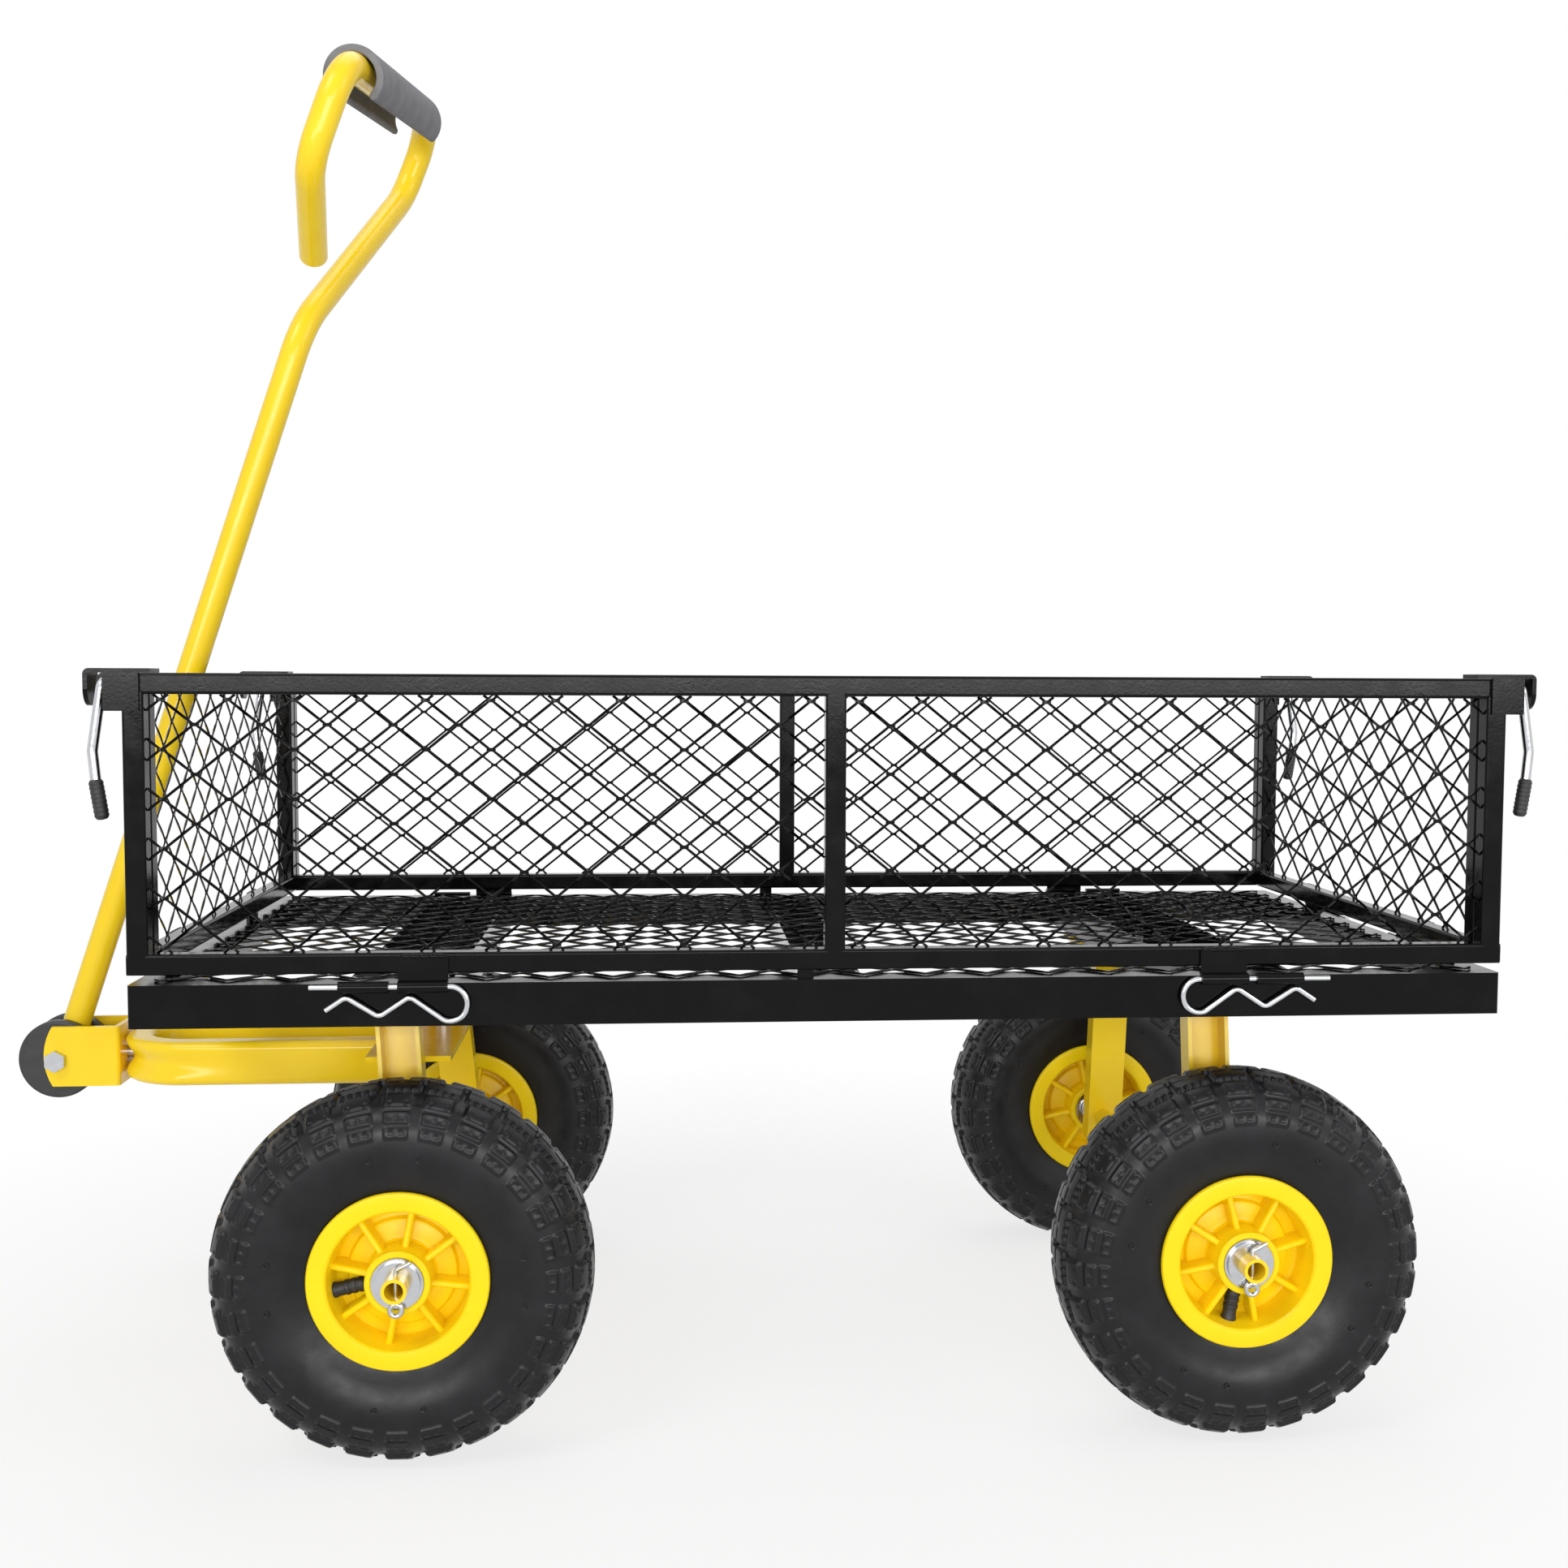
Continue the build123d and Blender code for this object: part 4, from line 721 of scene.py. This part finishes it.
# Studio: a pale floor that fades to white, a white surround for the eye and for reflections, four soft
# lamps, and a camera at the height and distance of the viewer.
floor_finish = bpy.data.materials.new("pale_floor")
floor_finish.use_nodes = True
tree = floor_finish.node_tree
shader = tree.nodes["Principled BSDF"]
shader.inputs["Base Color"].default_value = (0.93, 0.93, 0.93, 1.0)
shader.inputs["Roughness"].default_value = 0.9
shader.inputs["Specular IOR Level"].default_value = 0.1


def seen_directly(tree):
    """One for rays of the eye, of reflections and of clear parts, and zero for the rest."""
    rays = tree.nodes.new("ShaderNodeLightPath")
    either = rays.outputs["Is Camera Ray"]
    for kind in ("Is Glossy Ray", "Is Transmission Ray"):
        highest = tree.nodes.new("ShaderNodeMath")
        highest.operation = "MAXIMUM"
        tree.links.new(either, highest.inputs[0])
        tree.links.new(rays.outputs[kind], highest.inputs[1])
        either = highest.outputs[0]
    return either


spot = tree.nodes.new("ShaderNodeTexCoord")
far_off = tree.nodes.new("ShaderNodeVectorMath")
far_off.operation = "LENGTH"
tree.links.new(spot.outputs["Object"], far_off.inputs[0])
fade = spread(tree, far_off.outputs["Value"], 0.75, 1.0, 0.45, 1.0)
amount = tree.nodes.new("ShaderNodeMath")
amount.operation = "MULTIPLY"
tree.links.new(fade, amount.inputs[0])
tree.links.new(seen_directly(tree), amount.inputs[1])
white = tree.nodes.new("ShaderNodeEmission")
mixed = tree.nodes.new("ShaderNodeMixShader")
tree.links.new(amount.outputs[0], mixed.inputs[0])
tree.links.new(shader.outputs[0], mixed.inputs[1])
tree.links.new(white.outputs[0], mixed.inputs[2])
tree.links.new(mixed.outputs[0], tree.nodes["Material Output"].inputs["Surface"])
floor_shape = bpy.data.meshes.new("studio_floor")
floor_half = 12
floor_corners = [(x * floor_half, y * floor_half, 0) for x, y in ((-1, -1), (1, -1), (1, 1), (-1, 1))]
floor_shape.from_pydata(floor_corners, [], [(0, 1, 2, 3)])
floor_shape.materials.append(floor_finish)
floor = bpy.data.objects.new("studio_floor", floor_shape)
bpy.context.scene.collection.objects.link(floor)
floor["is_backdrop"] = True

world = bpy.data.worlds.new("studio")
bpy.context.scene.world = world
world.use_nodes = True
tree = world.node_tree
backdrop = tree.nodes["Background"]
level = tree.nodes.new("ShaderNodeMapRange")
level.inputs["To Min"].default_value = 0.3
level.inputs["To Max"].default_value = 1.0
tree.links.new(seen_directly(tree), level.inputs["Value"])
tree.links.new(level.outputs["Result"], backdrop.inputs["Strength"])
backdrop.inputs["Color"].default_value = (1.0, 1.0, 1.0, 1.0)


def soft_box(name, spot, aim, width, height, power):
    """A lamp of so much width and height at spot, facing aim."""
    lamp = bpy.data.lights.new(name, "AREA")
    lamp.shape = "RECTANGLE"
    lamp.size = width
    lamp.size_y = height
    lamp.energy = power
    holder = bpy.data.objects.new(name, lamp)
    back = np.array(spot, float) - np.array(aim, float)
    back /= np.linalg.norm(back)
    side = np.cross([0, 0, 1.0], back)
    side /= np.linalg.norm(side)
    turn = np.eye(4)
    turn[:3, 0], turn[:3, 1], turn[:3, 2], turn[:3, 3] = side, np.cross(back, side), back, spot
    holder.matrix_world = Matrix(turn.tolist())
    bpy.context.scene.collection.objects.link(holder)
    holder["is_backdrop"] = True


soft_box("key_light", (-1.4, -1.8, 2.7), (0.0, 0.0, 0.3), 1.2, 1.2, 24.0)
soft_box("front_light", (0.1, -3.2, 0.8), (0.1, 0.0, 0.25), 4.0, 0.6, 66.0)
soft_box("side_light", (2.4, -1.2, 1.6), (0.0, 0.0, 0.3), 1.2, 1.2, 10.0)
soft_box("top_light", (0.2, 0.6, 3.0), (0.0, 0.0, 0.3), 2.0, 2.0, 20.0)

camera_spot = np.array([-0.05561, -1.43466, 0.533115])
yaw, pitch, roll = 0.0829, -0.0619, 0.0042
focal_pixels, photo_pixels = 2177.87, 1932.0
centre_across, centre_down = 998.88, 973.62
ahead = np.array([np.sin(yaw) * np.cos(pitch), np.cos(yaw) * np.cos(pitch), np.sin(pitch)])
right = np.array([np.cos(yaw), -np.sin(yaw), 0.0])
up = np.cross(right, ahead)
right, up = np.cos(roll) * right + np.sin(roll) * up, np.cos(roll) * up - np.sin(roll) * right
turn = np.eye(4)
turn[:3, 0], turn[:3, 1], turn[:3, 2], turn[:3, 3] = right, up, -ahead, camera_spot
lens = bpy.data.cameras.new("viewer")
lens.sensor_width = 36.0
lens.lens = lens.sensor_width * focal_pixels / photo_pixels
lens.shift_x = (photo_pixels / 2 - centre_across) / photo_pixels
lens.shift_y = (centre_down - photo_pixels / 2) / photo_pixels
viewer = bpy.data.objects.new("viewer", lens)
viewer.matrix_world = Matrix(turn.tolist())
bpy.context.scene.collection.objects.link(viewer)
bpy.context.scene.camera = viewer
bpy.context.scene.view_settings.view_transform = "Standard"

low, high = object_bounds()
